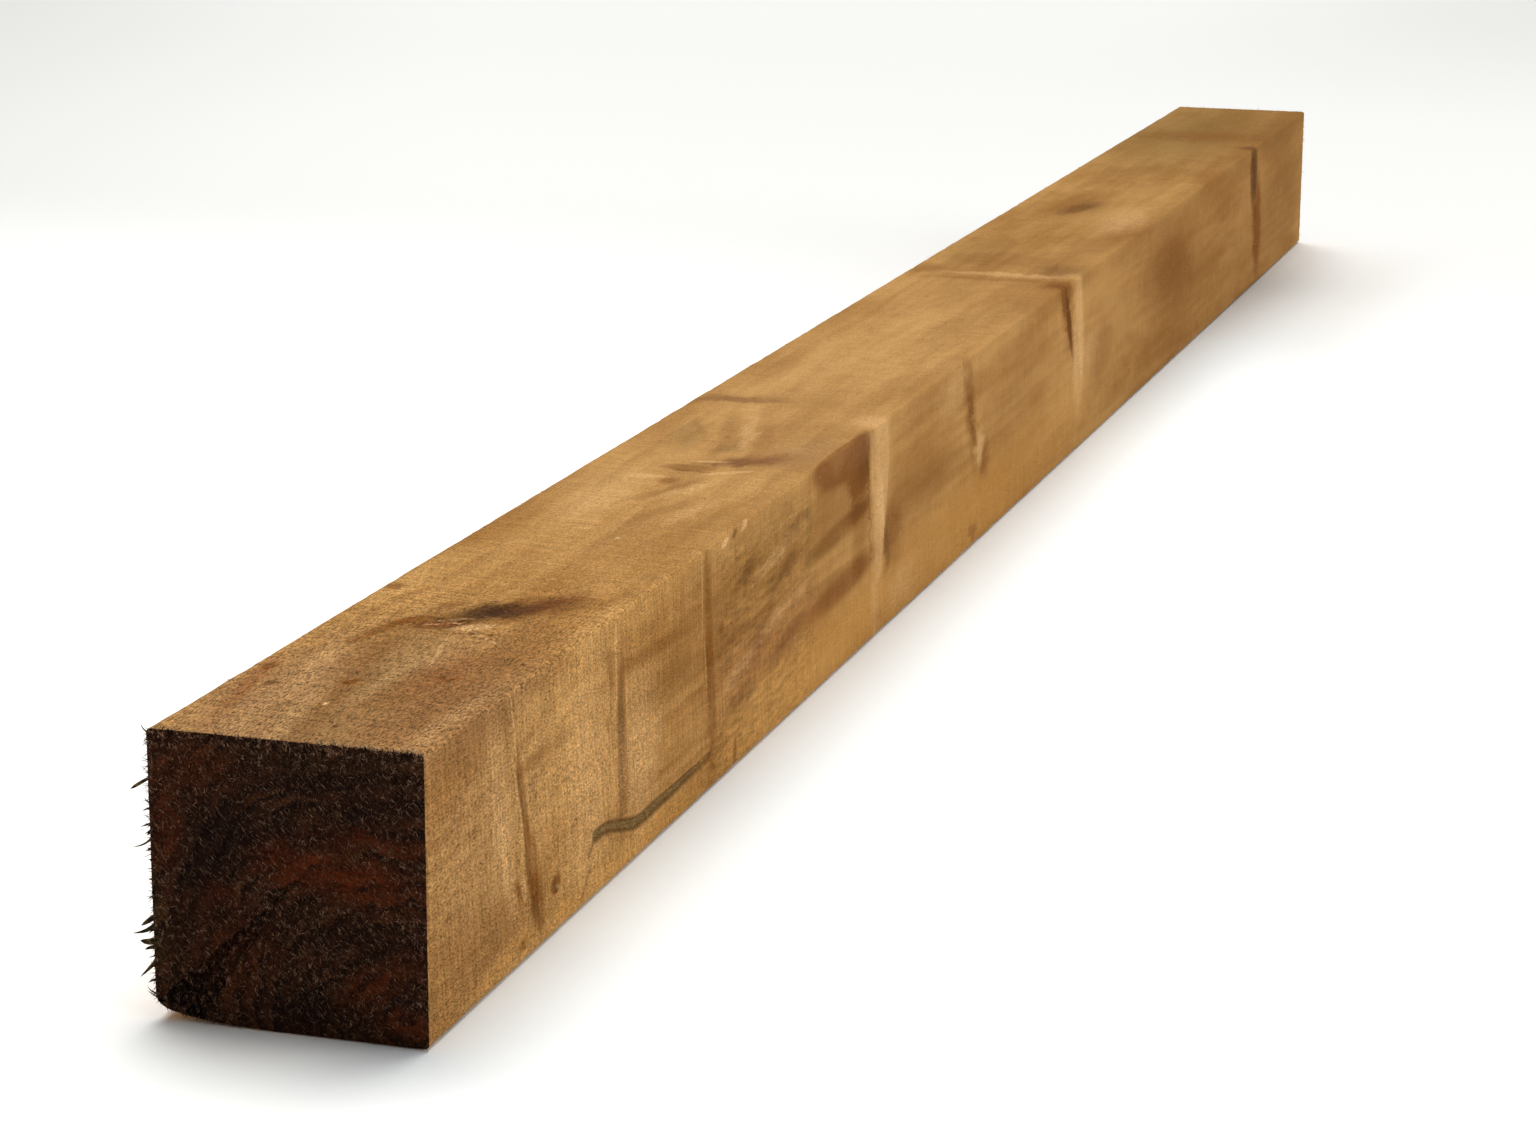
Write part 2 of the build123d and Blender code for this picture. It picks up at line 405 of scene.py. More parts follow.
UPPER_MARKS = (
    # The upper face, from the near end on. Round the first knot and the bark pocket, the brown, dark and
    # black marks are painted shade as well as the knot's and the bark's own colour.
    (DRAB, -855, 0, 95, 52, 0, 0.62, 0.6),
    (OLIVE, -836, 2, 74, 16, -8, 0.34, 0.9),
    (PALE, -850, -24, 60, 7, -8, 0.12, 0.8),
    (BROWN, -862, 31, 36, 17, 0, 0.36, 0.9),
    (BROWN, -838, -7, 62, 6, -9, 0.4, 0.8),
    (PALE, -868, -10, 34, 3, -8, 0.22, 0.8),
    (BROWN, -852, -21, 34, 3, -8, 0.34, 0.8),
    (PALE, -815, -27, 40, 3.5, -9, 0.2, 0.8),
    (PALE, -820, 3, 34, 3, 2, 0.16, 0.8),
    (PALE, -862, 42, 34, 4, 0, 0.26, 0.8),
    (BROWN, -822, 15, 34, 8, 8, 0.4, 0.8),
    (RED, -812, 20, 26, 9, -5, 0.3, 0.9),
    (BROWN, -785, 32, 56, 12, -6, 0.32, 0.9),
    (RED, -847, -39.5, 36, 3, -7.8, 0.5, 0.7),
    (BROWN, -818, -43, 6, 2.8, 0, 0.75, 0.5),
    (DARK, -837, -33.4, 3.6, 2.2, 10, 0.75, 0.5),
    (PALE, -855, -5, 2.6, 0.9, 0, 0.75),
    (DARK, -879, 9, 3.4, 1.1, 0, 0.6, 0.5),
    (BROWN, -828, -8, 4, 2.4, 0, 0.65, 0.5),
    (BROWN, -815, 22, 3, 4, 0, 0.55, 0.6),
    (BROWN, -699, -45, 5, 3.4, 0, 0.7, 0.5),
    (BROWN, -716, -14, 7, 4, 20, 0.45, 0.7),
    (PALE, -778, 5.5, 24, 0.9, -13.4, 0.34),
    (PALE, -759.6, 15.6, 11.5, 1, -48, 0.34),
    (BROWN, -765, -26.5, 22, 3.2, 12, 0.56, 0.55),
    (BROWN, -772, -20, 34, 7, 0, 0.28, 0.9),
    (BROWN, -744, -20.5, 9, 3, 30, 0.56, 0.55),
    (BROWN, -745.6, -7.5, 13.5, 9.5, 64, 0.46, 0.6),
    (DARK, -745.6, -7, 10.4, 7, 64, 0.6, 0.3),
    (RED, -745.2, -8, 7.4, 4.6, 64, 0.66, 0.4),
    (PALE, -746.6, -10, 3.4, 1, 64, 0.45, 0.5),
    (PALE, -742.4, -3, 3.6, 1, 64, 0.4, 0.5),
    (PALE, -738.6, -6, 8, 1.3, 62, 0.36, 0.5),
    (PALE, -747, 6, 8.5, 3.4, 55, 0.6, 0.5),
    (BROWN, -756.5, 5, 13, 0.9, 76, 0.5, 0.5),
    (DARK, -754, 9, 2.8, 2, 0, 0.65, 0.5),
    (DARK, -721, 9, 21, 9.5, 42, 0.8, 0.8),
    (BROWN, -722, 9, 26, 12, 42, 0.5, 0.8),
    (BLACK, -722, 7, 17, 7.5, 44, 0.7, 0.8),
    (DARK, -710, 17, 14, 7, 40, 0.42, 0.9),
    (RED, -707, 21, 15, 7, 34, 0.34, 0.9),
    (BROWN, -700, 26, 18, 9, 22, 0.26, 0.9),
    (PALE, -587, -10, 5, 1.2, 70, 0.6),
    (PALE, -599, 10, 2, 1.6, 0, 0.6),
    (BROWN, -465, -4, 12, 6.5, 86, 0.74, 0.45),
    (DARK, -471, 0, 9, 1.4, 100, 0.5, 0.5),
    (PALE, -451, 1, 8, 1.9, 80, 0.55, 0.5),
    (PALE, -487, -16.5, 7.5, 3.4, 85, 0.66, 0.5),
    (PALE, -470, 16, 11, 2.4, 56, 0.56, 0.5),
    (DARK, -446, 17, 15, 7, 50, 0.95, 0.7),
    (BLACK, -447, 16, 9, 4, 50, 0.36, 0.7),
    (BROWN, -452, 30, 18, 12, 40, 0.26, 0.9),
    (RED, -441, 20, 20, 9, 48, 0.55, 0.9),
    (OLIVE, -421, 0.8, 8, 5, 20, 0.6, 0.7),
    (BROWN, -493, -4, 6, 4.2, 0, 0.72, 0.55),
    (PALE, -505, 10, 22, 3.4, 22, 0.36, 0.7),
    (PALE, -548, 23, 22, 3.4, 8, 0.34, 0.7),
    (BROWN, -508, 1, 26, 3.4, 20, 0.46, 0.7),
    (BROWN, -545, 12, 24, 4, 14, 0.4, 0.7),
    (BROWN, -560, 35, 40, 5, 4, 0.3, 0.8),
    (PALE, -530, -24, 40, 12, -6, 0.34, 0.9),
    (BROWN, -384, -12, 42, 3.6, -13, 0.44, 0.7),
    (PALE, -382, -2, 42, 3.2, -13, 0.4, 0.7),
    (BROWN, -388, 8, 34, 3.4, -12, 0.4, 0.7),
    (OLIVE, -400, -26, 26, 7, -12, 0.42, 0.8),
    (DRAB, -425, 34, 30, 12, 0, 0.34, 0.8),
    (BROWN, -385, -25, 26, 1.8, -24, 0.34, 0.8),
    (DARK, -314, -28, 20, 6, 86, 0.46, 0.8),
    (BROWN, -314, -28, 24, 10, 86, 0.46, 0.9),
    (BROWN, -326, -49, 9, 5, 0, 0.42, 0.7),
    (PALE, -250, 0, 260, 52, 0, 0.2, 0.8),
    (BROWN, 128, 8, 26, 34, 0, 0.44, 0.8),
    (DARK, 98, 36, 20, 13, 0, 0.46, 0.8),
    (BROWN, 52, 45, 12, 9, 0, 0.5, 0.7),
    (PALE, 77, 8, 6, 32, 0, 0.46, 0.6),
    (BROWN, 60, 6, 6, 40, 0, 0.34, 0.7),
    (BROWN, 86, -42, 14, 12, 0, 0.46, 0.7),
    (OLIVE, 150, -28, 44, 16, 0, 0.3, 0.9),
    (BROWN, 45, -10, 62, 22, 0, 0.26, 0.9),
    (DARK, 345, -7, 26, 8, 10, 0.56, 0.8),
    (BROWN, 345, -8, 52, 16, 0, 0.4, 0.9),
    (PALE, 300, 31, 46, 13, 0, 0.44, 0.8),
    (BROWN, 193, 34, 42, 12, 0, 0.4, 0.8),
    (OLIVE, 500, 0, 330, 60, 0, 0.18, 0.8),
    (OLIVE, 780, -10, 180, 60, 0, 0.6, 0.8),
    (BROWN, 830, 30, 95, 30, 0, 0.36, 0.9),
    (BROWN, 722, 2, 26, 42, 0, 0.52, 0.8),
    (BROWN, 610, 34, 40, 16, 0, 0.14, 0.9),
)

CUT_MARKS = (
    # The cut ends
    (RED, 17, 57, 24, 7, -8, 0.95, 0.9, 60),
    (RED, 33, 70, 18, 3, -2, 0.6, 0.9, 60),
    (RED, 30, 21, 14, 5, 30, 0.7, 0.9, 60),
    (RED, 42, 7, 9, 4, 0, 0.8, 0.9, 60),
    (RED, -33, 92, 12, 8, 20, 0.38, 0.9, 60),
    (RED, -44, 66, 5, 14, 0, 0.5, 0.9, 60),
    (RED, -28, 46, 10, 4, 20, 0.5, 0.9, 60),
    (RED, -20, 26, 14, 12, 70, 0.35, 0.9, 60),
    (BLACK, -23, 72, 11, 7, 40, 0.75, 0.9, 60),
    (BLACK, -1, 87, 9, 4, 0, 0.6, 0.9, 60),
    (BLACK, -22, 59, 8, 5, 0, 0.55, 0.9, 60),
    (BLACK, 4, 10, 12, 8, 0, 0.7, 0.9, 60),
    (BLACK, -36, 11, 8, 6, 0, 0.3, 0.9, 60),
    (BLACK, -33, 50, 9, 14, 0, 0.7, 0.9, 60),
    (BLACK, 28, 88, 20, 5, -6, 0.6, 0.9, 60),
    (BLACK, 22, 36, 20, 4, -4, 0.5, 0.9, 60),
    (OLIVE, -48, 34, 14, 3, 90, 0.6, 0.8, 60),
    (OLIVE, 5, 96, 50, 4, 0, 0.12, 0.9, 60),
    (BLACK, 6, 74, 30, 5, 10, 0.4, 0.9, 60),
)

MARKS = [
    Mark(tint, side, *sizes)
    for side, rows in zip(Side, (HEART_MARKS, UPPER_MARKS, CUT_MARKS))
    for tint, *sizes in rows
]

SPLINTER_SIZES = (
    (99.8, 1.5, -2.8, 0.3, 0.2),
    (98.4, 1, 1.4, 0.25),
    (97.2, 0.8, 0.9, 0.3),
    (85.2, 5.2, 4.1, 0.34, 0.4, -1.2, 1.5),
    (83.4, 2.6, -4.4, 0.16, -1, -0.4),
    (89.5, 0.7, -1.2, 0.14),
    (75.2, 1.3, -2, 0.3),
    (73.9, 1.9, 1, 0.34),
    (72.4, 1.4, 3.6, 0.34, 1.2),
    (68.8, 2.9, 1.5, 0.34, 0.3),
    (67.6, 1.6, 2.4, 0.3, -0.4),
    (65.8, 0.8, 1.2, 0.55),
    (64.8, 5.4, 4.2, 0.36, 0.5, -1),
    (62.6, 1.8, 3.2, 0.42, 1.6),
    (60.4, 1.2, 0.4, 0.45),
    (54.9, 0.8, -1, 0.35),
    (50.2, 1, 1, 0.6),
    (43.6, 1.3, 1.4, 0.4, 0.3),
    (42.4, 1, 3.2, 0.4, 0.4),
    (36.4, 3.7, 3.5, 0.8, 0.4, -0.8, 0.6),
    (33.6, 6, 3.4, 0.78, 0.3, -1.4, 0.25),
    (31.4, 1.6, 1.6, 0.3),
    (27.6, 4.2, 0.7, 0.92, 0, -0.5, 0.8),
    (25, 2.9, 1, 0.66, 0.1, -0.7, 0.5),
    (23.6, 2, 2.2, 0.3),
    (21.3, 4.4, 6.1, 0.7, 0.6, -1, 0.25),
    (17.2, 1.1, -2.2, 0.4),
    (13.4, 2.2, 1.1, 0.5),
    (8.4, 2.6, -2, 0.3, 0.5),
    (4.6, 4.3, -3.9, 0.36, 0.3, -1.2),
    (5.6, 1.6, -3.4, 0.24, -0.4),
)

SPLINTERS = [Splinter(*sizes) for sizes in SPLINTER_SIZES]


class NodeWriter:
    """Adds nodes to one tree. The same calls serve shader trees and geometry trees."""

    column = 190.0
    rows = 12

    def __init__(self, tree: Tree) -> None:
        """Keeps the tree that the calls write to."""
        self.tree = tree

    def add(self, kind: str, feeds: dict[str | int, Feed] | None = None, **choices: object) -> Node:
        """Adds one node.

        Args:
            kind: Blender's name for the type of node.
            feeds: What goes into its sockets, by their name or number.
            **choices: The node's own settings.

        Returns:
            The new node.
        """
        node = self.tree.nodes.new(kind)
        count = len(self.tree.nodes)
        node.location = (count // self.rows * self.column, -(count % self.rows) * self.column)
        for name, choice in choices.items():
            setattr(node, name, choice)
        for name, value in (feeds or {}).items():
            self.feed(node.inputs[name], value)
        return node

    def feed(self, socket: Socket, value: Feed) -> None:
        """Links a socket to another, or sets its value.

        Args:
            socket: The socket to fill.
            value: The socket or the node to link from, or the plain value.
        """
        if isinstance(value, Node):
            value = value.outputs[0]
        if isinstance(value, Socket):
            self.tree.links.new(value, socket)
        else:
            socket.default_value = value

    def math(self, operation: str, first: Feed, second: Feed = 0.0, third: Feed = 0.0) -> Socket:
        """Works out a number from up to three others.

        Args:
            operation: The name of the operation.
            first: The first number.
            second: The second number, where the operation has one.
            third: The third number, where the operation has one.

        Returns:
            The socket that gives the result.
        """
        feeds = {0: first, 1: second, 2: third}
        return self.add("ShaderNodeMath", feeds, operation=operation).outputs[0]

    def product(self, first: Feed, *others: Feed) -> Socket:
        """Multiplies numbers with one another.

        Args:
            first: The first number.
            *others: The numbers that multiply it, in turn.

        Returns:
            The socket that gives the result.
        """
        for other in others:
            first = self.math("MULTIPLY", first, other)
        return first

    def vector(self, operation: str, first: Feed, second: Feed = (0.0, 0.0, 0.0)) -> Socket:
        """Works out a vector from one or two others.

        Args:
            operation: The name of the operation.
            first: The first vector.
            second: The second vector, or the factor of a scaling.

        Returns:
            The socket that gives the vector, or the number where the operation gives one.
        """
        node = self.add("ShaderNodeVectorMath", {0: first}, operation=operation)
        self.feed(node.inputs[3 if operation == "SCALE" else 1], second)
        gives_number = operation in ("LENGTH", "DOT_PRODUCT", "DISTANCE")
        return node.outputs[1 if gives_number else 0]

    def combine(self, x: Feed, y: Feed, z: Feed) -> Socket:
        """Makes a vector of three numbers."""
        return self.add("ShaderNodeCombineXYZ", {0: x, 1: y, 2: z}).outputs[0]

    def separate(self, vector: Feed) -> list[Socket]:
        """Splits a vector into its three numbers."""
        return list(self.add("ShaderNodeSeparateXYZ", {0: vector}).outputs)

    def ease(
        self, value: Feed, start: Feed, end: Feed, low: Feed = 0.0, high: Feed = 1.0
    ) -> Socket:
        """Turns a number into another that runs smoothly from low to high.

        Args:
            value: The number that is turned.
            start: Where the result is low.
            end: Where the result is high.
            low: The result at and before the start.
            high: The result at and after the end.

        Returns:
            The socket that gives the result.
        """
        feeds = {0: value, 1: start, 2: end, 3: low, 4: high}
        return self.add("ShaderNodeMapRange", feeds, interpolation_type="SMOOTHSTEP").outputs[0]

    def attribute(self, name: str, kind: str) -> Socket:
        """Reads a named attribute of the mesh."""
        feeds = {"Name": name}
        return self.add("GeometryNodeInputNamedAttribute", feeds, data_type=kind).outputs[0]

    def noise(
        self, vector: Feed, scale: Feed = 1.0, detail: float = 1.0, roughness: float = 0.5
    ) -> Node:
        """Adds a noise pattern.

        Args:
            vector: Where the pattern is read.
            scale: How many features it has for each unit.
            detail: How many finer layers it has.
            roughness: How strong the finer layers are.

        Returns:
            The noise node, whose outputs are a number and a colour.
        """
        feeds = {"Vector": vector, "Scale": scale, "Detail": detail, "Roughness": roughness}
        return self.add("ShaderNodeTexNoise", feeds)

    def stretched(
        self, vector: Feed, sizes: Triple, detail: float = 1.0, roughness: float = 0.5
    ) -> Node:
        """Adds a noise pattern whose features have their own size on each axis.

        Args:
            vector: Where the pattern is read, in millimetres.
            sizes: The features' sizes in millimetres.
            detail: How many finer layers it has.
            roughness: How strong the finer layers are.

        Returns:
            The noise node.
        """
        per_unit = tuple(1.0 / size for size in sizes)
        return self.noise(self.vector("MULTIPLY", vector, per_unit), 1.0, detail, roughness)

    def blend(self, share: Feed, under: Feed, over: Feed, mode: str = "MIX") -> Socket:
        """Blends two colours.

        Args:
            share: How much of the upper colour shows.
            under: The lower colour.
            over: The upper colour.
            mode: How they blend.

        Returns:
            The socket that gives the colour.
        """
        feeds = {0: share, 6: under, 7: over}
        node = self.add("ShaderNodeMix", feeds, data_type="RGBA", blend_type=mode, clamp_factor=True)
        return node.outputs[2]


def open_tree(
    name: str, kind: str, takes: dict[str, Feed | str], gives: dict[str, str]
) -> tuple[NodeWriter, dict[str, Socket], Node]:
    """Starts a node group with named inputs and outputs.

    Args:
        name: The group's name.
        kind: The type of tree.
        takes: The default of each input by name, or its kind where it has no default.
        gives: The kinds of the outputs by name.

    Returns:
        The writer for the new tree, the input sockets by name, and the node that takes the
        outputs.
    """
    tree = bpy.data.node_groups.new(name, kind)
    kinds = {float: "Float", int: "Int", tuple: "Vector"}
    for label, given in takes.items():
        sort = "NodeSocket" + kinds.get(type(given), str(given))
        socket = tree.interface.new_socket(name=label, in_out="INPUT", socket_type=sort)
        if not isinstance(given, str):
            socket.default_value = given
    for label, given in gives.items():
        sort = "NodeSocket" + given
        tree.interface.new_socket(name=label, in_out="OUTPUT", socket_type=sort)
    writer = NodeWriter(tree)
    entry = writer.add("NodeGroupInput")
    leave = writer.add("NodeGroupOutput")
    return writer, {label: entry.outputs[label] for label in takes}, leave


class WoodEffects:
    """The shader groups that the timber's finishes share. Places in them are in millimetres."""

    ring_width = 7.5
    trunk_share = 0.25
    branch_share = 0.04
    pith_height = 14.0
    knot_root = 46.0
    knot_lean = 0.2
    join = 1.6

    def __init__(self) -> None:
        """Builds each group once."""
        self.fibres = self.build_fibres()
        self.saw_lines = self.build_saw_lines()
        self.mark = self.build_mark()
        self.branch = self.build_branch()
        self.rings = self.build_rings()

    @staticmethod
    def build_fibres() -> Tree:
        """Builds the group for fine streaks that run along the post.

        Returns:
            The group.
        """
        takes = {
            "Place": "Vector",
            "Fibre Width": 1.0,
            "Fibre Length": 14.0,
            "Contrast": 1.0,
        }
        writer, get, leave = open_tree("Torn fibres", "ShaderNodeTree", takes, {"Tone": "Float"})
        across = writer.math("DIVIDE", 1.0, get["Fibre Width"])
        along = writer.math("DIVIDE", 1.0, get["Fibre Length"])
        place = writer.vector("MULTIPLY", get["Place"], writer.combine(across, along, across))
        tone = writer.math("SUBTRACT", writer.noise(place, 1, 2, 0.6), 0.5)
        writer.feed(leave.inputs["Tone"], writer.product(tone, get["Contrast"]))
        return writer.tree

    @staticmethod
    def build_saw_lines() -> Tree:
        """Builds the group for the lines that the saw's teeth left square to the length.

        Returns:
            The group.
        """
        takes = {
            "Place": "Vector",
            "Pitch": 3.0,
            "Line Length": 40.0,
            "Lean": 0.1,
            "Contrast": 1.0,
        }
        writer, get, leave = open_tree("Saw lines", "ShaderNodeTree", takes, {"Tone": "Float"})
        x, y, z = writer.separate(get["Place"])
        lean = writer.product(writer.math("ADD", x, z), get["Lean"])
        phase = writer.math("DIVIDE", writer.math("ADD", y, lean), get["Pitch"])
        side = writer.math("DIVIDE", x, get["Line Length"])
        rise = writer.math("DIVIDE", z, get["Line Length"])
        pattern = writer.noise(writer.combine(side, phase, rise), 1, 1.5, 0.6)
        tone = writer.math("SUBTRACT", pattern, 0.5)
        writer.feed(leave.inputs["Tone"], writer.product(tone, get["Contrast"]))
        return writer.tree

    @staticmethod
    def build_mark() -> Tree:
        """Builds the group for one soft-edged patch, added to the patches before it.

        Returns:
            The group.
        """
        takes = {
            "Place": "Vector",
            "Middle": "Vector",
            "Long Axis": (0.0, 1.0, 0.0),
            "Cross Axis": (0.0, 0.0, 1.0),
            "Inward Axis": (1.0, 0.0, 0.0),
            "Softness": 0.4,
            "Strength": 0.6,
            "Under": 0.0,
        }
        writer, get, leave = open_tree("Mark", "ShaderNodeTree", takes, {"Mask": "Float"})
        offset = writer.vector("SUBTRACT", get["Place"], get["Middle"])
        shares = [
            writer.vector("DOT_PRODUCT", offset, get[axis])
            for axis in ("Long Axis", "Cross Axis", "Inward Axis")
        ]
        local = writer.combine(*shares)
        outer = writer.math("ADD", 1.0, get["Softness"])
        inner = writer.math("SUBTRACT", 1.0, get["Softness"])
        mask = writer.ease(writer.vector("LENGTH", local), outer, inner, 0, get["Strength"])
        writer.feed(leave.inputs["Mask"], writer.math("ADD", mask, get["Under"]))
        return writer.tree

    def build_branch(self) -> Tree:
        """Builds the group that gives the age at which a growing branch reached a place.

        Returns:
            The group.
        """
        takes = {
            "Place": "Vector",
            "Foot": "Vector",
            "Direction": (0.0, 0.0, 1.0),
            "Spread": 0.1,
        }
        writer, get, leave = open_tree("Branch age", "ShaderNodeTree", takes, {"Age": "Float"})
        offset = writer.vector("SUBTRACT", get["Place"], get["Foot"])
        reach = writer.vector("DOT_PRODUCT", offset, get["Direction"])
        beside = writer.vector("SUBTRACT", offset, writer.vector("SCALE", get["Direction"], reach))
        thickening = writer.math("DIVIDE", self.trunk_share - self.branch_share, get["Spread"])
        swelling = writer.product(writer.vector("LENGTH", beside), thickening)
        age = writer.math("MULTIPLY_ADD", reach, self.branch_share, swelling)
        below = writer.math("MAXIMUM", writer.product(reach, -1.0), 0.0)
        writer.feed(leave.inputs["Age"], writer.math("ADD", age, below))
        return writer.tree

    def branch_lines(self) -> list[tuple[Triple, Triple, float]]:
        """Works out how each branch grew out of the pith.

        Returns:
            Each branch's foot, direction and spread.
        """
        lines = []
        for branch in BRANCHES:
            top = Vector((TimberForm.heart_crown, branch.top, TimberForm.height))
            foot = Vector((TimberForm.heart_crown, branch.foot, branch.foot_height))
            way = (top - foot).normalized()
            root = foot - way * ((branch.foot_height - self.pith_height) / way.z)
            lines.append((tuple(root), tuple(way), branch.top_width / 2 / (top - root).length))
        for knot in UPPER_KNOTS:
            top = Vector((knot.across, knot.along, TimberForm.height))
            root = Vector((self.knot_root, knot.along, self.pith_height))
            root.y += self.knot_lean * (top - root).length
            way = (top - root).normalized()
            lines.append((tuple(root), tuple(way), knot.width / 2 / (top - root).length))
        return lines

    def build_rings(self) -> Tree:
        """Builds the group for the growth rings, which wrap the pith and swell at branches.

        Returns:
            The group.
        """
        takes = {"Place": "Vector", "Waver": 1.0}
        gives = {"Late Wood": "Float", "Ring Tone": "Float", "Age": "Float"}
        writer, get, leave = open_tree("Growth rings", "ShaderNodeTree", takes, gives)
        x, y, z = writer.separate(get["Place"])
        # The pith comes out of the heart face near the front end and sinks back further on
        out = writer.ease(y, -900, -745, 43, 51)
        pith_x = writer.math("SUBTRACT", out, writer.ease(y, -600, -430, 0, 5))
        up = writer.ease(y, -900, -741, 9, 23)
        pith_z = writer.math("SUBTRACT", up, writer.ease(y, -729, -688, 0, 9.5))
        beside = writer.math("SUBTRACT", x, pith_x)
        above = writer.math("SUBTRACT", z, pith_z)
        radius = writer.vector("LENGTH", writer.combine(beside, 0.0, above))
        slow = writer.stretched(get["Place"], (70, 320, 70), 1).outputs[0]
        quick = writer.stretched(get["Place"], (12, 75, 12), 1.5).outputs[0]
        waver = writer.math("MULTIPLY_ADD", slow, 26.0, writer.product(quick, 3.4))
        bent = writer.math("MULTIPLY_ADD", waver, get["Waver"], radius)
        age = writer.product(bent, 1.0 / self.ring_width)
        for foot, way, spread in self.branch_lines():
            node = writer.add("ShaderNodeGroup", node_tree=self.branch)
            for label, value in (("Foot", foot), ("Direction", way), ("Spread", spread)):
                writer.feed(node.inputs[label], value)
            writer.feed(node.inputs["Place"], get["Place"])
            lifted = writer.math("ADD", node.outputs["Age"], 2.0)
            age = writer.math("SMOOTH_MIN", age, lifted, self.join)
        part = writer.math("FRACT", age)
        rise = writer.ease(part, 0.15, 0.84)
        fall = writer.ease(part, 1, 0.88)
        white = {"W": writer.math("FLOOR", age)}
        tone = writer.add("ShaderNodeTexWhiteNoise", white, noise_dimensions="1D").outputs[0]
        writer.feed(leave.inputs["Late Wood"], writer.product(rise, fall))
        writer.feed(leave.inputs["Ring Tone"], tone)
        writer.feed(leave.inputs["Age"], age)
        return writer.tree


class Finish:
    """A procedural finish. Each kind lays its colours into a material of its own."""

    def __init__(self, name: str, effects: WoodEffects) -> None:
        """Makes the empty material.

        Args:
            name: The material's name.
            effects: The groups that the finishes share.
        """
        self.effects = effects
        self.material = bpy.data.materials.new(name)
        self.material.use_nodes = True
        self.material.node_tree.nodes.clear()
        self.writer = NodeWriter(self.material.node_tree)
        place = self.writer.add("ShaderNodeTexCoord").outputs["Object"]
        self.place = self.writer.vector("SCALE", place, 1.0 / MM)

    def group(self, tree: Tree, **feeds: Feed) -> Node:
        """Places a shared group.

        Args:
            tree: The group.
            **feeds: What goes into its inputs, with underscores for the spaces in their names.

        Returns:
            The group's node.
        """
        node = self.writer.add("ShaderNodeGroup", node_tree=tree)
        for name, value in feeds.items():
            self.writer.feed(node.inputs[name.replace("_", " ")], value)
        return node

    def masks(self, marks: list[Mark], crisp: Feed, loose: Feed) -> dict[Tint, Socket]:
        """Lays marks over one another, one mask for each tint.

        Args:
            marks: The marks.
            crisp: The place for marks with clean edges.
            loose: The place for marks whose edges follow the fibres.

        Returns:
            The mask of each tint that has a mark.
        """
        found: dict[Tint, Socket] = {}
        ragged = 0.55
        for mark in marks:
            long_way, cross_way, inward = mark.axes()
            node = self.group(
                self.effects.mark,
                Place=loose if mark.softness > ragged else crisp,
                Middle=mark.place(),
                Long_Axis=long_way,
                Cross_Axis=cross_way,
                Inward_Axis=inward,
                Softness=mark.softness,
                Strength=mark.strength,
                Under=found.get(mark.tint, 0.0),
            )
            found[mark.tint] = node.outputs["Mask"]
        return found

    def close(
        self, colour: Feed, roughness: Feed, height: Feed, relief: float, gloss: float
    ) -> Material:
        """Ends the material in its shader.

        Args:
            colour: The base colour.
            roughness: The roughness.
            height: The height that the light reads as relief.
            relief: How far apart low and high are, in millimetres.
            gloss: The specular level, the same all over.

        Returns:
            The finished material.
        """
        feeds = {"Strength": 1.0, "Distance": relief * MM, "Height": height}
        bump = self.writer.add("ShaderNodeBump", feeds)
        feeds = {"Base Color": colour, "Roughness": roughness, "Normal": bump}
        shader = self.writer.add("ShaderNodeBsdfPrincipled", feeds)
        shader.inputs["Specular IOR Level"].default_value = gloss
        self.writer.add("ShaderNodeOutputMaterial", {"Surface": shader})
        return self.material


@dataclass(frozen=True)
class SawnColours:
    """The colours of the sawn faces."""

    light: tuple = linear(210, 160, 95)
    deep: tuple = linear(172, 122, 63)
    late: tuple = linear(128, 82, 40)
    tints: dict = field(
        default_factory=lambda: {
            Tint.GOLD: linear(214, 156, 82),
            Tint.DRAB: linear(158, 120, 84),
            Tint.OLIVE: linear(134, 103, 52),
            Tint.BROWN: linear(134, 84, 34),
            Tint.DARK: linear(88, 52, 22),
            Tint.BLACK: linear(54, 36, 22),
            Tint.RED: linear(146, 88, 48),
            Tint.PALE: linear(232, 184, 124),
        }
    )
    pith: tuple = linear(140, 112, 68)
    pith_rim: tuple = linear(86, 58, 28)


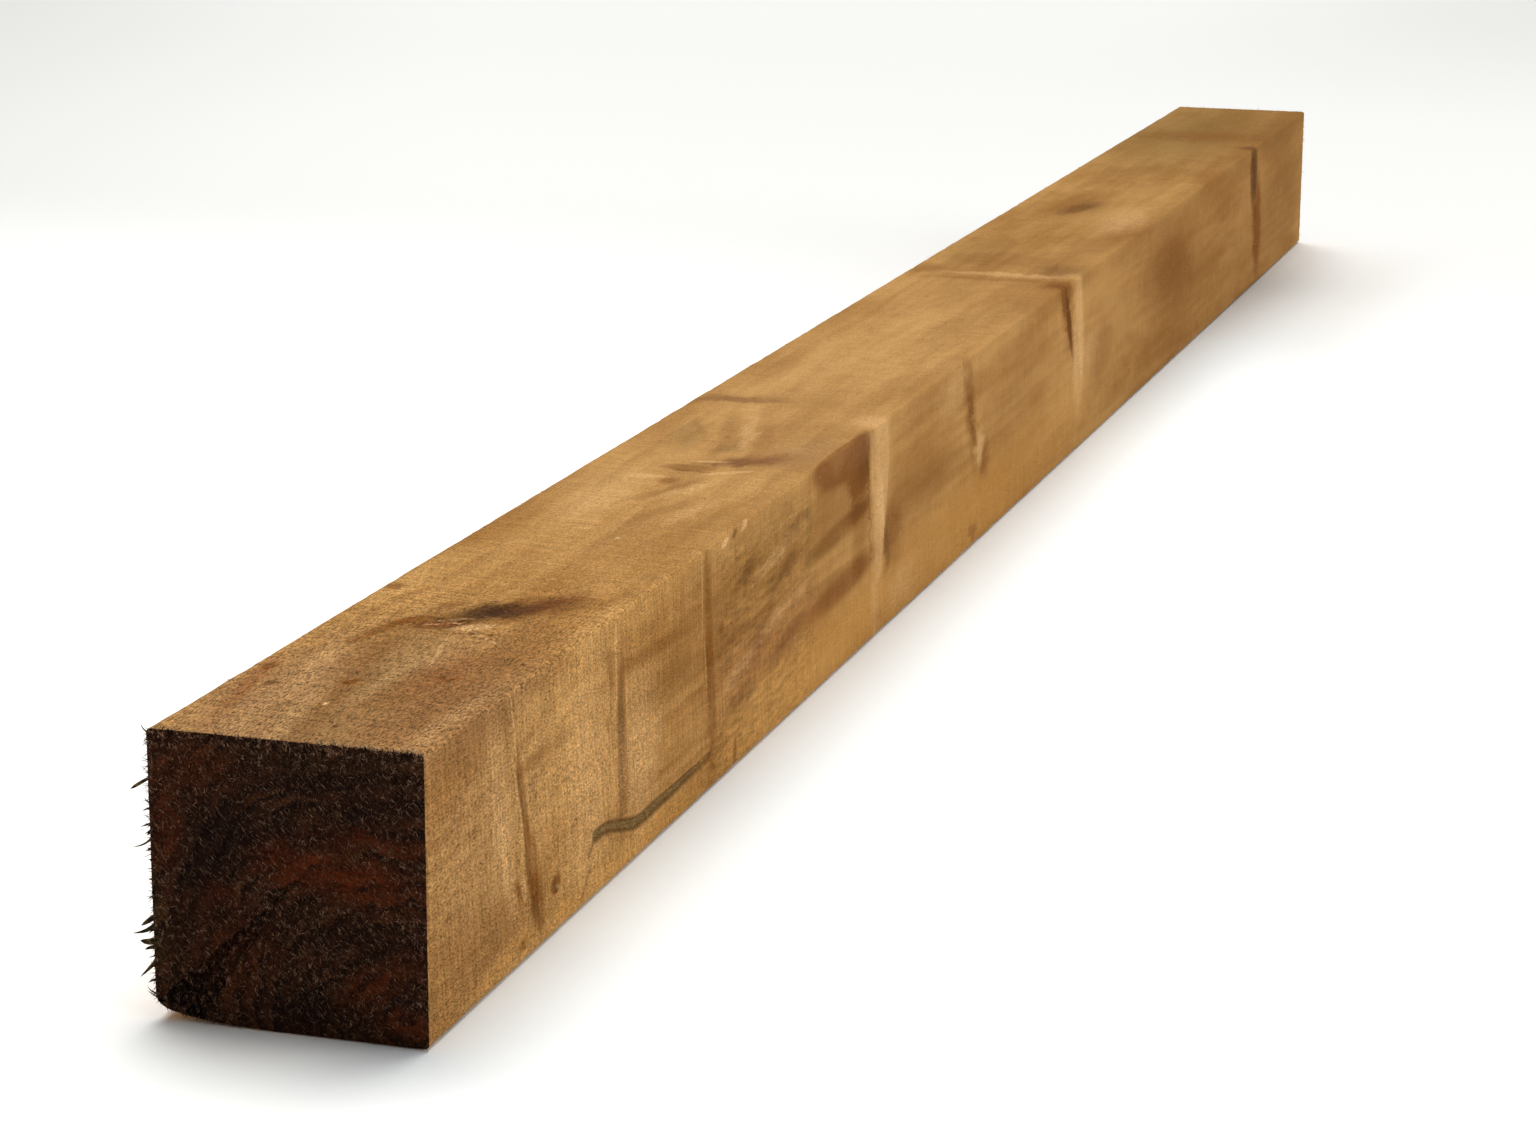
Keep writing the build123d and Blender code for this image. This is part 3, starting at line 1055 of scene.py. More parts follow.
class SawnFinish(Finish):
    """The treated, rough-sawn long faces: rings, torn fibres, saw lines, knots and stains, with painted
    highlights and shade beside the branches' ridges and round the first knot.
    """

    stirs = ((0.8, 1.8, 0.8), (3.0, 6.0, 3.0), (9.0, 22.0, 9.0))
    grit_size = (0.5, 1.8, 0.5)
    crumb_size = (0.9, 3.2, 0.9)
    ridge_size = (2.0, 10.0, 2.0)
    nap_weights = (0.65, 0.95, 3.4, 2.7, 2.3)
    relief = 0.4
    gloss = 0.05

    def __init__(self, effects: WoodEffects, colours: SawnColours) -> None:
        """Builds the material.

        Args:
            effects: The groups that the finishes share.
            colours: The colours of the faces.
        """
        super().__init__("sawn_timber", effects)
        self.colours = colours
        writer = self.writer
        swirl = writer.stretched(self.place, (6, 16, 6), 3, 0.65)
        shift = writer.vector("SUBTRACT", swirl.outputs[1], (0.5, 0.5, 0.5))
        crisp, wavy, loose = (
            writer.vector("ADD", self.place, writer.vector("MULTIPLY", shift, reach))
            for reach in self.stirs
        )
        torn, teeth = effects.fibres, effects.saw_lines
        fine = self.group(torn, Place=crisp, Fibre_Width=0.9, Fibre_Length=5.0).outputs[0]
        broad = self.group(torn, Place=self.place, Fibre_Width=9.0, Fibre_Length=120.0).outputs[0]
        lines = self.group(teeth, Place=crisp, Pitch=2.0, Line_Length=26.0).outputs[0]
        raised = writer.ease(writer.separate(self.place)[1], -850, -330, 1, 0.35)
        grit = self.nap(self.grit_size, raised)
        crumbs = self.nap(self.crumb_size, self.torn_share())
        ridges = self.nap(self.ridge_size, self.ridged_share())
        rings = self.group(effects.rings, Place=wavy, Waver=1.0)
        colour = self.base_colour(broad, swirl)
        colour = self.add_rings(colour, rings, raised)
        colour = self.add_marks(colour, crisp, loose, fine, grit)
        colour = self.add_pith(colour, crisp, grit)
        colour = self.add_nap(colour, raised, (fine, lines, grit, crumbs, ridges))
        height = self.height(fine, lines, grit)
        roughness = writer.ease(fine, -0.3, 0.3, 0.95, 0.85)
        self.close(colour, roughness, height, self.relief, self.gloss)

    def nap(self, sizes: Triple, share: Feed) -> Socket:
        """Gives a nap about nothing with features of the given sizes, where share lets it show."""
        pattern = self.writer.stretched(self.place, sizes, 2, 0.72).outputs[0]
        return self.writer.product(self.writer.math("SUBTRACT", pattern, 0.5), share)

    def torn_share(self) -> Socket:
        """Gives how strongly the upper face is torn, which is most by the near end.

        Returns:
            The socket that gives the share.
        """
        writer = self.writer
        _, y, z = writer.separate(self.place)
        fading = writer.ease(y, -780, -600, 1, 0.4)
        return writer.product(fading, writer.ease(z, 99.5, 101.5))

    def ridged_share(self) -> Socket:
        """Gives how strongly the heart face is torn into ridges in front of the widest branch.

        Returns:
            The socket that gives the share.
        """
        writer = self.writer
        _, y, z = writer.separate(self.place)
        start, end = writer.ease(y, -640, -560), writer.ease(y, -435, -465)
        return writer.product(start, end, writer.ease(z, 99, 90))

    def base_colour(self, broad: Feed, swirl: Feed) -> Socket:
        """Lays the timber's own light and deep colours in broad bands along the length.

        Args:
            broad: The tone of the broad streaks.
            swirl: The tone of the swirling grain.

        Returns:
            The socket that gives the colour.
        """
        writer = self.writer
        cloud = writer.stretched(self.place, (38, 120, 38), 2, 0.55).outputs[0]
        mixed = writer.math("MULTIPLY_ADD", broad, 0.45, cloud)
        mixed = writer.math("MULTIPLY_ADD", swirl, 0.3, mixed)
        share = writer.ease(mixed, 0.36, 0.94)
        return writer.blend(share, self.colours.light, self.colours.deep)

    def add_rings(self, colour: Feed, rings: Node, raised: Feed) -> Socket:
        """Darkens the late wood, more in some rings than in others, fading along the length.

        Args:
            colour: The colour so far.
            rings: The node of the growth rings.
            raised: How much grain stands up, which is most by the near end.

        Returns:
            The socket that gives the colour.
        """
        writer = self.writer
        fading = writer.stretched(self.place, (30, 110, 30), 1.5, 0.6).outputs[0]
        presence = writer.ease(fading, 0.36, 0.64, 0.15, 1)
        tone = writer.math("MULTIPLY_ADD", rings.outputs["Ring Tone"], 0.32, 0.08)
        late = writer.product(rings.outputs["Late Wood"], tone)
        plain = writer.math("MULTIPLY_ADD", raised, 0.75, 0.25)
        share = writer.product(late, presence, plain)
        return writer.blend(share, colour, self.colours.late)

    def add_marks(self, colour: Feed, crisp: Feed, loose: Feed, fine: Feed, grit: Feed) -> Socket:
        """Lays the knots, streaks and stains on, with the painted highlights and shade beside the branches'
        ridges and round the first knot, broken up by the fibres.

        Args:
            colour: The colour so far.
            crisp: The place for marks with clean edges.
            loose: The place for marks whose edges follow the fibres.
            fine: The tone of the fine fibres.
            grit: The tone of the nap.

        Returns:
            The socket that gives the colour.
        """
        writer = self.writer
        marks = [mark for mark in MARKS if mark.side is not Side.CUT]
        masks = self.masks(marks, crisp, loose)
        broken = writer.math("MULTIPLY_ADD", fine, 0.9, writer.math("MULTIPLY_ADD", grit, 1.5, 1.0))
        for tint in Tint:
            if tint in masks:
                share = writer.product(masks[tint], broken)
                colour = writer.blend(share, colour, self.colours.tints[tint])
        return colour

    def add_pith(self, colour: Feed, place: Feed, grit: Feed) -> Socket:
        """Colours the soft pith where it winds along the surface, and its dark rim.

        Args:
            colour: The colour so far.
            place: The place, in millimetres.
            grit: The tone of the nap.

        Returns:
            The socket that gives the colour.
        """
        writer = self.writer
        form = TimberForm
        x, y, z = writer.separate(place)
        bend_start = form.pith_start + 6.0
        middle = writer.ease(y, bend_start, form.pith_bend, form.pith_high, form.pith_low)
        away = writer.math("ABSOLUTE", writer.math("SUBTRACT", z, middle))
        half = writer.ease(y, form.pith_bend, form.pith_end, form.pith_width / 2, 1.1)
        away = writer.math("SUBTRACT", away, writer.math("MULTIPLY_ADD", grit, 2.4, half))
        near = writer.ease(y, form.pith_start - 5, form.pith_start + 1)
        far = writer.ease(y, form.pith_end + 12, form.pith_end - 40)
        shown = writer.product(near, far, writer.ease(x, 40, 44))
        rim = writer.product(writer.ease(away, 1.4, -0.3, 0, 0.80), shown)
        broken = writer.math("MULTIPLY_ADD", grit, 1.6, 0.75)
        core = writer.product(writer.ease(away, -0.1, -1.6), broken, shown)
        colour = writer.blend(rim, colour, self.colours.pith_rim)
        return writer.blend(core, colour, self.colours.pith)

    def add_nap(self, colour: Feed, raised: Feed, tones: tuple[Feed, ...]) -> Socket:
        """Lightens and darkens the colour with the torn nap and the saw's lines, partly the fibres' own tone
        and partly painted shade and highlight in the nap's relief.

        Args:
            colour: The colour so far.
            raised: How much grain stands up.
            tones: The tones of the fibres, saw lines, grit, crumbs and ridges.

        Returns:
            The socket that gives the colour.
        """
        writer = self.writer
        total: Feed = 1.0
        for tone, weight in zip(tones, self.nap_weights):
            part = writer.product(tone, weight)
            total = writer.math("MULTIPLY_ADD", part, raised, total)
        grey = writer.combine(total, total, total)
        return writer.blend(1.0, colour, grey, "MULTIPLY")

    def height(self, fine: Feed, lines: Feed, grit: Feed) -> Socket:
        """Adds up the relief of the nap and the saw lines.

        Args:
            fine: The tone of the fine fibres.
            lines: The tone of the saw lines.
            grit: The tone of the nap.

        Returns:
            The socket that gives the height.
        """
        writer = self.writer
        total = writer.math("MULTIPLY_ADD", fine, 0.8, 0.5)
        total = writer.math("MULTIPLY_ADD", lines, 0.7, total)
        return writer.math("MULTIPLY_ADD", grit, 0.6, total)


@dataclass(frozen=True)
class CutColours:
    """The colours of the crosscut ends, where the treatment soaked in."""

    deep: tuple = linear(38, 20, 14)
    worn: tuple = linear(98, 57, 34)
    late: tuple = linear(20, 11, 10)
    fleck: tuple = linear(172, 138, 110)
    tints: dict = field(
        default_factory=lambda: {
            Tint.RED: linear(132, 58, 22),
            Tint.BLACK: linear(18, 11, 13),
            Tint.OLIVE: linear(112, 88, 46),
        }
    )


class CutFinish(Finish):
    """The dark, fuzzy end grain, with its rings in arcs and fine flecks."""

    ring_bend = 16.0
    ring_stir = 4.5
    stroke_stir = 1.6
    stroke_slant_degrees = -42.0
    stroke_length = 3.4
    stroke_width = 0.6
    relief = 1.4
    gloss = 0.05

    def __init__(self, effects: WoodEffects, colours: CutColours) -> None:
        """Builds the material.

        Args:
            effects: The groups that the finishes share.
            colours: The colours of the ends.
        """
        super().__init__("cut_end", effects)
        writer = self.writer
        slow = writer.noise(self.place, 0.07, 2, 0.6)
        fuzz = writer.noise(self.place, 0.8, 2.5, 0.75)
        bend = writer.vector("SUBTRACT", slow.outputs[1], (0.5, 0.5, 0.5))
        stir = writer.vector("SUBTRACT", fuzz.outputs[1], (0.5, 0.5, 0.5))
        place = writer.vector("ADD", self.place, writer.vector("SCALE", bend, self.ring_bend))
        place = writer.vector("ADD", place, writer.vector("SCALE", stir, self.ring_stir))
        stirred = writer.vector("SCALE", stir, self.stroke_stir)
        strokes = self.strokes(writer.vector("ADD", self.place, stirred))
        clouds = writer.product(slow, 0.7)
        tufts = writer.math("MULTIPLY_ADD", fuzz, 0.9, clouds)
        colour = writer.blend(writer.ease(tufts, 0.62, 1), colours.deep, colours.worn)
        marks = [mark for mark in MARKS if mark.side is Side.CUT]
        for tint, mask in self.masks(marks, place, place).items():
            share = writer.product(mask, writer.ease(fuzz, 0.35, 0.65, 0.35, 1))
            colour = writer.blend(share, colour, colours.tints[tint])
        rings = self.group(effects.rings, Place=place, Waver=0.8)
        presence = writer.ease(slow, 0.4, 0.6, 0.25, 0.85)
        share = writer.product(rings.outputs["Late Wood"], presence)
        colour = writer.blend(share, colour, colours.late)
        colour = writer.blend(writer.ease(strokes, 0.58, 0.76, 0, 0.8), colour, colours.fleck)
        height = writer.math("MULTIPLY_ADD", strokes, 1.2, fuzz)
        roughness = writer.ease(fuzz, 0.3, 0.7, 0.96, 0.86)
        self.close(colour, roughness, height, self.relief, self.gloss)

    def strokes(self, place: Feed) -> Socket:
        """Gives the short slanted strokes that the saw teeth combed over the end grain.

        Args:
            place: The place, in millimetres.

        Returns:
            The socket that gives the strokes' tone.
        """
        writer = self.writer
        slant = math.radians(self.stroke_slant_degrees)
        far, beside = math.cos(slant), math.sin(slant)
        along = (far / self.stroke_length, 0.0, beside / self.stroke_length)
        across = (-beside / self.stroke_width, 0.0, far / self.stroke_width)
        first = writer.vector("DOT_PRODUCT", place, along)
        second = writer.vector("DOT_PRODUCT", place, across)
        return writer.noise(writer.combine(first, second, 0), 1, 1.5, 0.6).outputs[0]


class FibreFinish(Finish):
    """Loose wood fibres, of a dark and a light colour that change from one to the next."""

    stain = 0.75
    darker_by = 0.16
    lighter_by = 0.18
    relief = 0.1
    gloss = 0.1

    def __init__(
        self, name: str, effects: WoodEffects, dark: tuple, light: tuple, bias: float, tints: dict
    ) -> None:
        """Builds the material.

        Args:
            name: The material's name.
            effects: The groups that the finishes share.
            dark: The darkest fibre's colour.
            light: The lightest fibre's colour.
            bias: Where on the pattern's scale the middle colour lies, more being darker.
            tints: The colours that the stains of a cut end give the fibres.
        """
        super().__init__(name, effects)
        writer = self.writer
        tuft = writer.noise(self.place, 0.42, 1.5, 0.6).outputs[0]
        sizes = {"Fibre_Width": 0.5, "Fibre_Length": 1.4, "Contrast": 0.5}
        grain = self.group(effects.fibres, Place=self.place, **sizes).outputs[0]
        tone = writer.math("ADD", tuft, grain)
        share = writer.ease(tone, bias - self.darker_by, bias + self.lighter_by)
        colour = writer.blend(share, dark, light)
        marks = [mark for mark in MARKS if mark.side is Side.CUT and mark.tint in tints]
        for tint, mask in self.masks(marks, self.place, self.place).items():
            colour = writer.blend(writer.product(mask, self.stain), colour, tints[tint])
        roughness = writer.ease(grain, -0.2, 0.2, 0.94, 0.84)
        self.close(colour, roughness, grain, self.relief, self.gloss)


def settle(
    host: Object, tree: Tree, name: str, inputs: dict[str, Feed]
) -> Object:
    """Runs a geometry tree on an object and keeps the result as a plain mesh.

    Args:
        host: The object that the tree starts from. It is removed.
        tree: The geometry tree.
        name: The name of the finished piece.
        inputs: The values of the tree's named inputs.

    Returns:
        The finished piece.
    """
    modifier = host.modifiers.new("Build", "NODES")
    modifier.node_group = tree
    for item in tree.interface.items_tree:
        if item.in_out == "INPUT" and item.name in inputs:
            modifier[item.identifier] = inputs[item.name]
    graph = bpy.context.evaluated_depsgraph_get()
    graph.update()
    mesh = bpy.data.meshes.new_from_object(host.evaluated_get(graph), depsgraph=graph)
    host.modifiers.remove(modifier)
    old = host.data
    bpy.data.objects.remove(host)
    bpy.data.meshes.remove(old)
    mesh.name = name
    piece = bpy.data.objects.new(name, mesh)
    bpy.context.scene.collection.objects.link(piece)
    return piece


def raw_object(name: str, points: np.ndarray, faces: list, edges: list | None = None) -> Object:
    """Makes an object from points in millimetres.

    Args:
        name: The object's name.
        points: The points, one row each.
        faces: The faces, as numbers of points.
        edges: Loose edges, as numbers of points.

    Returns:
        The object, linked to the scene.
    """
    mesh = bpy.data.meshes.new(name)
    mesh.from_pydata((np.asarray(points) * MM).tolist(), edges or [], faces)
    mesh.update()
    made = bpy.data.objects.new(name, mesh)
    bpy.context.scene.collection.objects.link(made)
    return made


@dataclass
class DressedPost:
    """The sawn timber itself: one closed skin with the CAD solid's forms and a rougher surface."""

    sawn: Material
    cut: Material
    cap_rings: int = 12
    near_spacing: float = 4.4
    far_spacing: float = 12.0
    chatter_pitch: float = 9.0
    chatter_depth: float = 0.16
    grain_depth: float = 0.22
    wander: float = 0.3
    arris_wear: float = 0.45
    end_tear: float = 0.9
    length_windows: tuple[Window, ...] = (
        Window(-900, -896, 1),
        Window(-832, -806, 1),
        Window(-784, -774, 1),
        Window(-758, -694, 1.4),
        Window(-607, -595, 1.1),
        Window(-593, -543, 2),
        Window(-474, -454, 1.4),
        Window(-361, -324, 1.6),
        Window(-324, -306, 1.4),
        Window(-188, -142, 2),
        Window(58, 106, 2.2),
        Window(322, 358, 2.6),
        Window(662, 698, 2.4),
        Window(897, 900, 1.2),
    )

    @staticmethod
    def graded(
        start: float, end: float, coarse: tuple[float, float], windows: tuple[Window, ...]
    ) -> np.ndarray:
        """Divides a line so that its steps are small inside the windows.

        Args:
            start: Where the line starts.
            end: Where the line ends.
            coarse: The spacing at its start and at its end, away from windows.
            windows: The finer stretches.

        Returns:
            The places of the divisions, both ends included.
        """
        samples, growth = 20001, 0.22
        fine = np.linspace(start, end, samples)
        spacing = np.interp(fine, (start, end), coarse)
        for window in windows:
            outside = np.maximum(np.maximum(window.start - fine, fine - window.end), 0.0)
            spacing = np.minimum(spacing, window.spacing + growth * outside)
        steps = np.concatenate(([0.0], np.cumsum(np.diff(fine) / spacing[1:])))
        return np.interp(np.linspace(0.0, steps[-1], round(steps[-1]) + 1), steps, fine)

    def section(self) -> tuple[np.ndarray, np.ndarray]:
        """Walks round the sawn section, looking along the post from its near end.

        Returns:
            The points as rows of X and Z, and the outward normals.
        """
        form = TimberForm
        low, left, right, high = 0.0, -form.half_width, form.heart_face, form.height
        round_by = form.arris_radius
        under = self.graded(left + round_by, right - round_by, (2.5, 6.0), ())
        heart = self.graded(low + round_by, high - round_by, (1.9, 1.9), (Window(9, 27, 1),))
        upper = self.graded(left + round_by, right - round_by, (2.1, 2.1), (Window(-26, 20, 1.15),))
        hidden = self.graded(low + round_by, high - round_by, (2.0, 7.0), ())
        points, normals = [], []

        def run(xs: np.ndarray, zs: np.ndarray, normal: tuple[float, float]) -> None:
            """Adds a straight stretch with one normal."""
            points.extend(zip(xs, zs))
            normals.extend([normal] * len(xs))

        def turn(x: float, z: float, start: float, count: int) -> None:
            """Adds the points of an eased arris between two stretches.

            Args:
                x: The place across of the arris's centre.
                z: The height of its centre.
                start: The angle at which it starts.
                count: How many steps it has.
            """
            for step in range(1, count):
                angle = start + math.pi / 2 * step / count
                way = (math.cos(angle), math.sin(angle))
                points.append((x + round_by * way[0], z + round_by * way[1]))
                normals.append(way)

        run(under, np.full(len(under), low), (0.0, -1.0))
        turn(right - round_by, low + round_by, -math.pi / 2, 4)
        run(np.full(len(heart), right), heart, (1.0, 0.0))
        turn(right - round_by, high - round_by, 0.0, 5)
        run(upper[::-1], np.full(len(upper), high), (0.0, 1.0))
        turn(left + round_by, high - round_by, math.pi / 2, 4)
        run(np.full(len(hidden), left), hidden[::-1], (-1.0, 0.0))
        turn(left + round_by, low + round_by, math.pi, 4)
        return np.array(points), np.array(normals)

    @staticmethod
    def heart_relief(y: np.ndarray, z: np.ndarray) -> np.ndarray:
        """Gives how far the heart side stands out from its relieved face.

        Args:
            y: Places along the post.
            z: Heights.

        Returns:
            The relief, negative in the pith's groove.
        """
        form = TimberForm
        share = np.zeros(np.broadcast(y, z).shape)
        for branch in BRANCHES:
            rise = (z - branch.foot_height) / (form.height - branch.foot_height)
            rise = np.clip(rise, 0.0, 1.0)
            middle = branch.foot + (branch.top - branch.foot) * rise
            middle = middle + branch.bow * 4 * rise * (1 - rise)
            half = (branch.foot_width + (branch.top_width - branch.foot_width) * rise) / 2
            below = np.maximum(branch.foot_height - z, 0.0)
            away = np.hypot(y - middle, below) - half
            share = np.maximum(share, np.clip(1 - away / form.flank, 0.0, 1.0))
        away = np.hypot(y - form.pin_along, z - form.pin_height) - form.pin_radius
        share = np.maximum(share, np.clip(-away / form.flank, 0.0, 1.0))
        sunk = ease(y, form.pith_start, form.pith_bend)
        middle = form.pith_high + (form.pith_low - form.pith_high) * sunk
        past = np.maximum(np.maximum(form.pith_start - y, y - form.pith_end), 0.0)
        away = np.hypot(z - middle, past) - form.pith_width / 2
        groove = form.pith_depth * (1 - ease(away, -0.9, 0.35))
        return form.relief * share - groove

    @staticmethod
    def upper_relief(x: np.ndarray, y: np.ndarray) -> np.ndarray:
        """Gives how far the knots and the bark pocket sink the upper face.

        Args:
            x: Places across the post.
            y: Places along the post.

        Returns:
            The relief, which is negative or nothing.
        """
        form = TimberForm
        relief = np.zeros(np.broadcast(x, y).shape)

        def local(along: float, across: float, turn: float) -> tuple[np.ndarray, np.ndarray]:
            """Gives places along and beside the long axis of a turned form.

            Args:
                along: The form's middle along the post.
                across: The form's middle across it.
                turn: How far it is turned from the length towards +X, in degrees.

            Returns:
                The places along its long axis, and those beside it.
            """
            angle = math.radians(turn)
            far, beside = y - along, x - across
            long_way = beside * math.sin(angle) + far * math.cos(angle)
            return long_way, beside * math.cos(angle) - far * math.sin(angle)

        for knot in UPPER_KNOTS:
            long_way, beside = local(knot.along, knot.across, knot.turn)
            half_long, half_wide = knot.length / 2, knot.width / 2
            radius = np.hypot(long_way / half_long, beside / half_wide)
            inset = (1 - radius) * half_wide
            groove = np.interp(
                inset,
                (0.0, form.groove_width / 2, form.groove_width),
                (0.0, -form.groove_depth, -form.crown_below),
            )
            relief = np.minimum(relief, np.where(inset > 0, groove, 0.0))
        long_way, beside = local(form.pocket_along, form.pocket_across, form.pocket_turn)
        radius = np.hypot(2 * long_way / form.pocket_length, 2 * beside / form.pocket_width)
        pocket = -form.pocket_depth * np.clip(1 - radius**2, 0.0, 1.0)
        return np.minimum(relief, pocket)

    @staticmethod
    def take_chips(x: np.ndarray, y: np.ndarray, z: np.ndarray) -> tuple[np.ndarray, np.ndarray]:
        """Takes the saw's chips out of the upper arris of the heart side.

        Args:
            x: Places across the post.
            y: Places along the post.
            z: Heights.

        Returns:
            The new places across and heights.
        """
        form = TimberForm
        half = form.chip_length / 2
        radius = (half**2 + form.chip_depth**2) / (2 * form.chip_depth)
        corner = (form.heart_face + form.height) / math.sqrt(2)
        for along in form.chips_along:
            beside = np.clip(np.abs(y - along), 0.0, radius)
            edge = corner + radius - form.chip_depth - np.sqrt(radius**2 - beside**2)
            excess = np.maximum((x + z) / math.sqrt(2) - edge, 0.0)
            x = x - excess / math.sqrt(2)
            z = z - excess / math.sqrt(2)
        return x, z

    @staticmethod
    def take_wane(x: np.ndarray, y: np.ndarray, z: np.ndarray) -> tuple[np.ndarray, np.ndarray]:
        """Takes the wane out of the lower arris of the far side, by the near end.

        Args:
            x: Places across the post.
            y: Places along the post.
            z: Heights.

        Returns:
            The new places across and heights.
        """
        form = TimberForm
        drop = (form.wane_rise + form.wane_margin) * (y + form.half_length) / form.wane_run
        curve_points, spared = 200, 0.4
        share = np.linspace(0.0, 1.0, curve_points)
        left = -form.half_width
        curve_x = (
            left * (1 - share) ** 2
            + 2 * (left + form.wane_shoulder) * share * (1 - share)
            + (left + form.wane_reach) * share**2
        )
        curve_z = form.wane_rise * (1 - share) ** 2
        floor = np.interp(x, curve_x, curve_z, right=0.0) - drop
        new_z = np.where(x > left + spared, np.maximum(z, floor), z)
        wall = np.interp(new_z + drop, curve_z[::-1], curve_x[::-1], right=left)
        return np.maximum(x, np.where(new_z + drop < form.wane_rise, wall, left)), new_z

    def build(self) -> Object:
        """Builds the dressed timber.

        Returns:
            The finished piece.
        """
        form = TimberForm
        outline, normals = self.section()
        coarse = (self.near_spacing, self.far_spacing)
        stations = self.graded(-form.half_length, form.half_length, coarse, self.length_windows)
        rows, count = len(stations), len(outline)
        y = np.repeat(stations[:, None], count, axis=1)
        x = np.repeat(outline[None, :, 0], rows, axis=0)
        z = np.repeat(outline[None, :, 1], rows, axis=0)
        x = x + self.heart_relief(y, z) * np.maximum(normals[:, 0], 0.0)
        z = z + self.upper_relief(x, y) * np.maximum(normals[:, 1], 0.0)
        x, z = self.take_chips(x, y, z)
        x, z = self.take_wane(x, y, z)
        skin = np.stack((x, y, z), axis=-1)
        points, faces = [skin.reshape(-1, 3)], []
        step = np.arange(count)
        after = (step + 1) % count
        for row in range(rows - 1):
            near, far = row * count, (row + 1) * count
            ring = np.stack((near + after, near + step, far + step, far + after), axis=1)
            faces.extend(ring.tolist())
        long_faces = len(faces)
        self.close_ends(skin, points, faces)
        host = raw_object("timber_base", np.concatenate(points), faces)
        self.mark_mesh(host.data, long_faces, normals, rows)
        inputs = {
            "Chatter Pitch": self.chatter_pitch,
            "Chatter Depth": self.chatter_depth,
            "Grain Depth": self.grain_depth,
            "Wander": self.wander,
            "Arris Wear": self.arris_wear,
            "End Tear": self.end_tear,
            "Sawn Finish": self.sawn,
            "Cut Finish": self.cut,
        }
        return settle(host, self.relief_tree(), "dressed_post", inputs)

    def close_ends(self, skin: np.ndarray, points: list, faces: list) -> None:
        """Closes both ends with rings of faces that narrow towards the middle.

        Args:
            skin: The points of the long sides, by row and by place round the section.
            points: The blocks of points so far. The ends' own are added.
            faces: The faces so far. The ends' own are added.
        """
        rows, count = skin.shape[:2]
        step = np.arange(count)
        after = (step + 1) % count
        total = rows * count
        for row, outward in ((0, True), (rows - 1, False)):
            edge = skin[row]
            centre = np.array([0.0, edge[0, 1], TimberForm.height / 2])
            inner = row * count + step
            for ring_number in range(1, self.cap_rings):
                share = 1 - ring_number / self.cap_rings
                points.append(centre + (edge - centre) * share)
                ring = total + step
                total += count
                pair = np.stack((inner, inner[after], ring[after], ring), axis=1)
                faces.extend((pair if outward else pair[:, ::-1]).tolist())
                inner = ring
            points.append(centre[None, :])
            fan = np.stack((inner, inner[after], np.full(count, total)), axis=1)
            faces.extend((fan if outward else fan[:, ::-1]).tolist())
            total += 1

    @staticmethod
    def mark_mesh(mesh: bpy.types.Mesh, long_faces: int, normals: np.ndarray, rows: int) -> None:
        """Marks the cut ends, the arrises and the sharp rims on the mesh.

        Args:
            mesh: The mesh.
            long_faces: How many of its first faces are on the long sides.
            normals: The outward normals round the section.
            rows: How many times the section stands along the post.
        """
        count = len(normals)
        ends = np.zeros(len(mesh.polygons), dtype=bool)
        ends[long_faces:] = True
        mesh.attributes.new("cut_end", "BOOLEAN", "FACE").data.foreach_set("value", ends)
        arris = np.zeros(len(mesh.vertices), dtype=np.float32)
        blunt = np.minimum(np.abs(normals[:, 0]), np.abs(normals[:, 1])) * 2
        arris[: rows * count] = np.tile(np.clip(blunt, 0.0, 1.0), rows)
        mesh.attributes.new("arris", "FLOAT", "POINT").data.foreach_set("value", arris)
        mesh.polygons.foreach_set("use_smooth", np.ones(len(mesh.polygons), dtype=bool))
        rim = {
            tuple(sorted((start + place, start + (place + 1) % count)))
            for start in (0, (rows - 1) * count)
            for place in range(count)
        }
        sharp = [tuple(sorted(edge.vertices)) in rim for edge in mesh.edges]
        mesh.attributes.new("sharp_edge", "BOOLEAN", "EDGE").data.foreach_set("value", sharp)

    @staticmethod
    def relief_tree() -> Tree:
        """Builds the geometry tree that roughens the skin as the saw did.

        Returns:
            The tree.
        """
        takes = {
            "Geometry": "Geometry",
            "Chatter Pitch": 9.0,
            "Chatter Depth": 0.1,
            "Grain Depth": 0.1,
            "Wander": 0.2,
            "Arris Wear": 1.0,
            "End Tear": 0.5,
            "Sawn Finish": "Material",
            "Cut Finish": "Material",
        }
        gives = {"Geometry": "Geometry"}
        slant, slow, bite_from, wear_depth, sink_share = 0.1, 0.012, 0.46, 3.0, 0.1
        writer, get, leave = open_tree("Sawn relief", "GeometryNodeTree", takes, gives)
        place = writer.vector("SCALE", writer.add("GeometryNodeInputPosition"), 1.0 / MM)
        normal = writer.add("GeometryNodeInputNormal").outputs[0]
        arris = writer.attribute("arris", "FLOAT")
        end = writer.attribute("cut_end", "BOOLEAN")
        x, y, z = writer.separate(place)

        def centred(pattern: Node, depth: Feed) -> Socket:
            """Gives a pattern's number about nothing, times a depth."""
            return writer.product(writer.math("SUBTRACT", pattern, 0.5), depth)

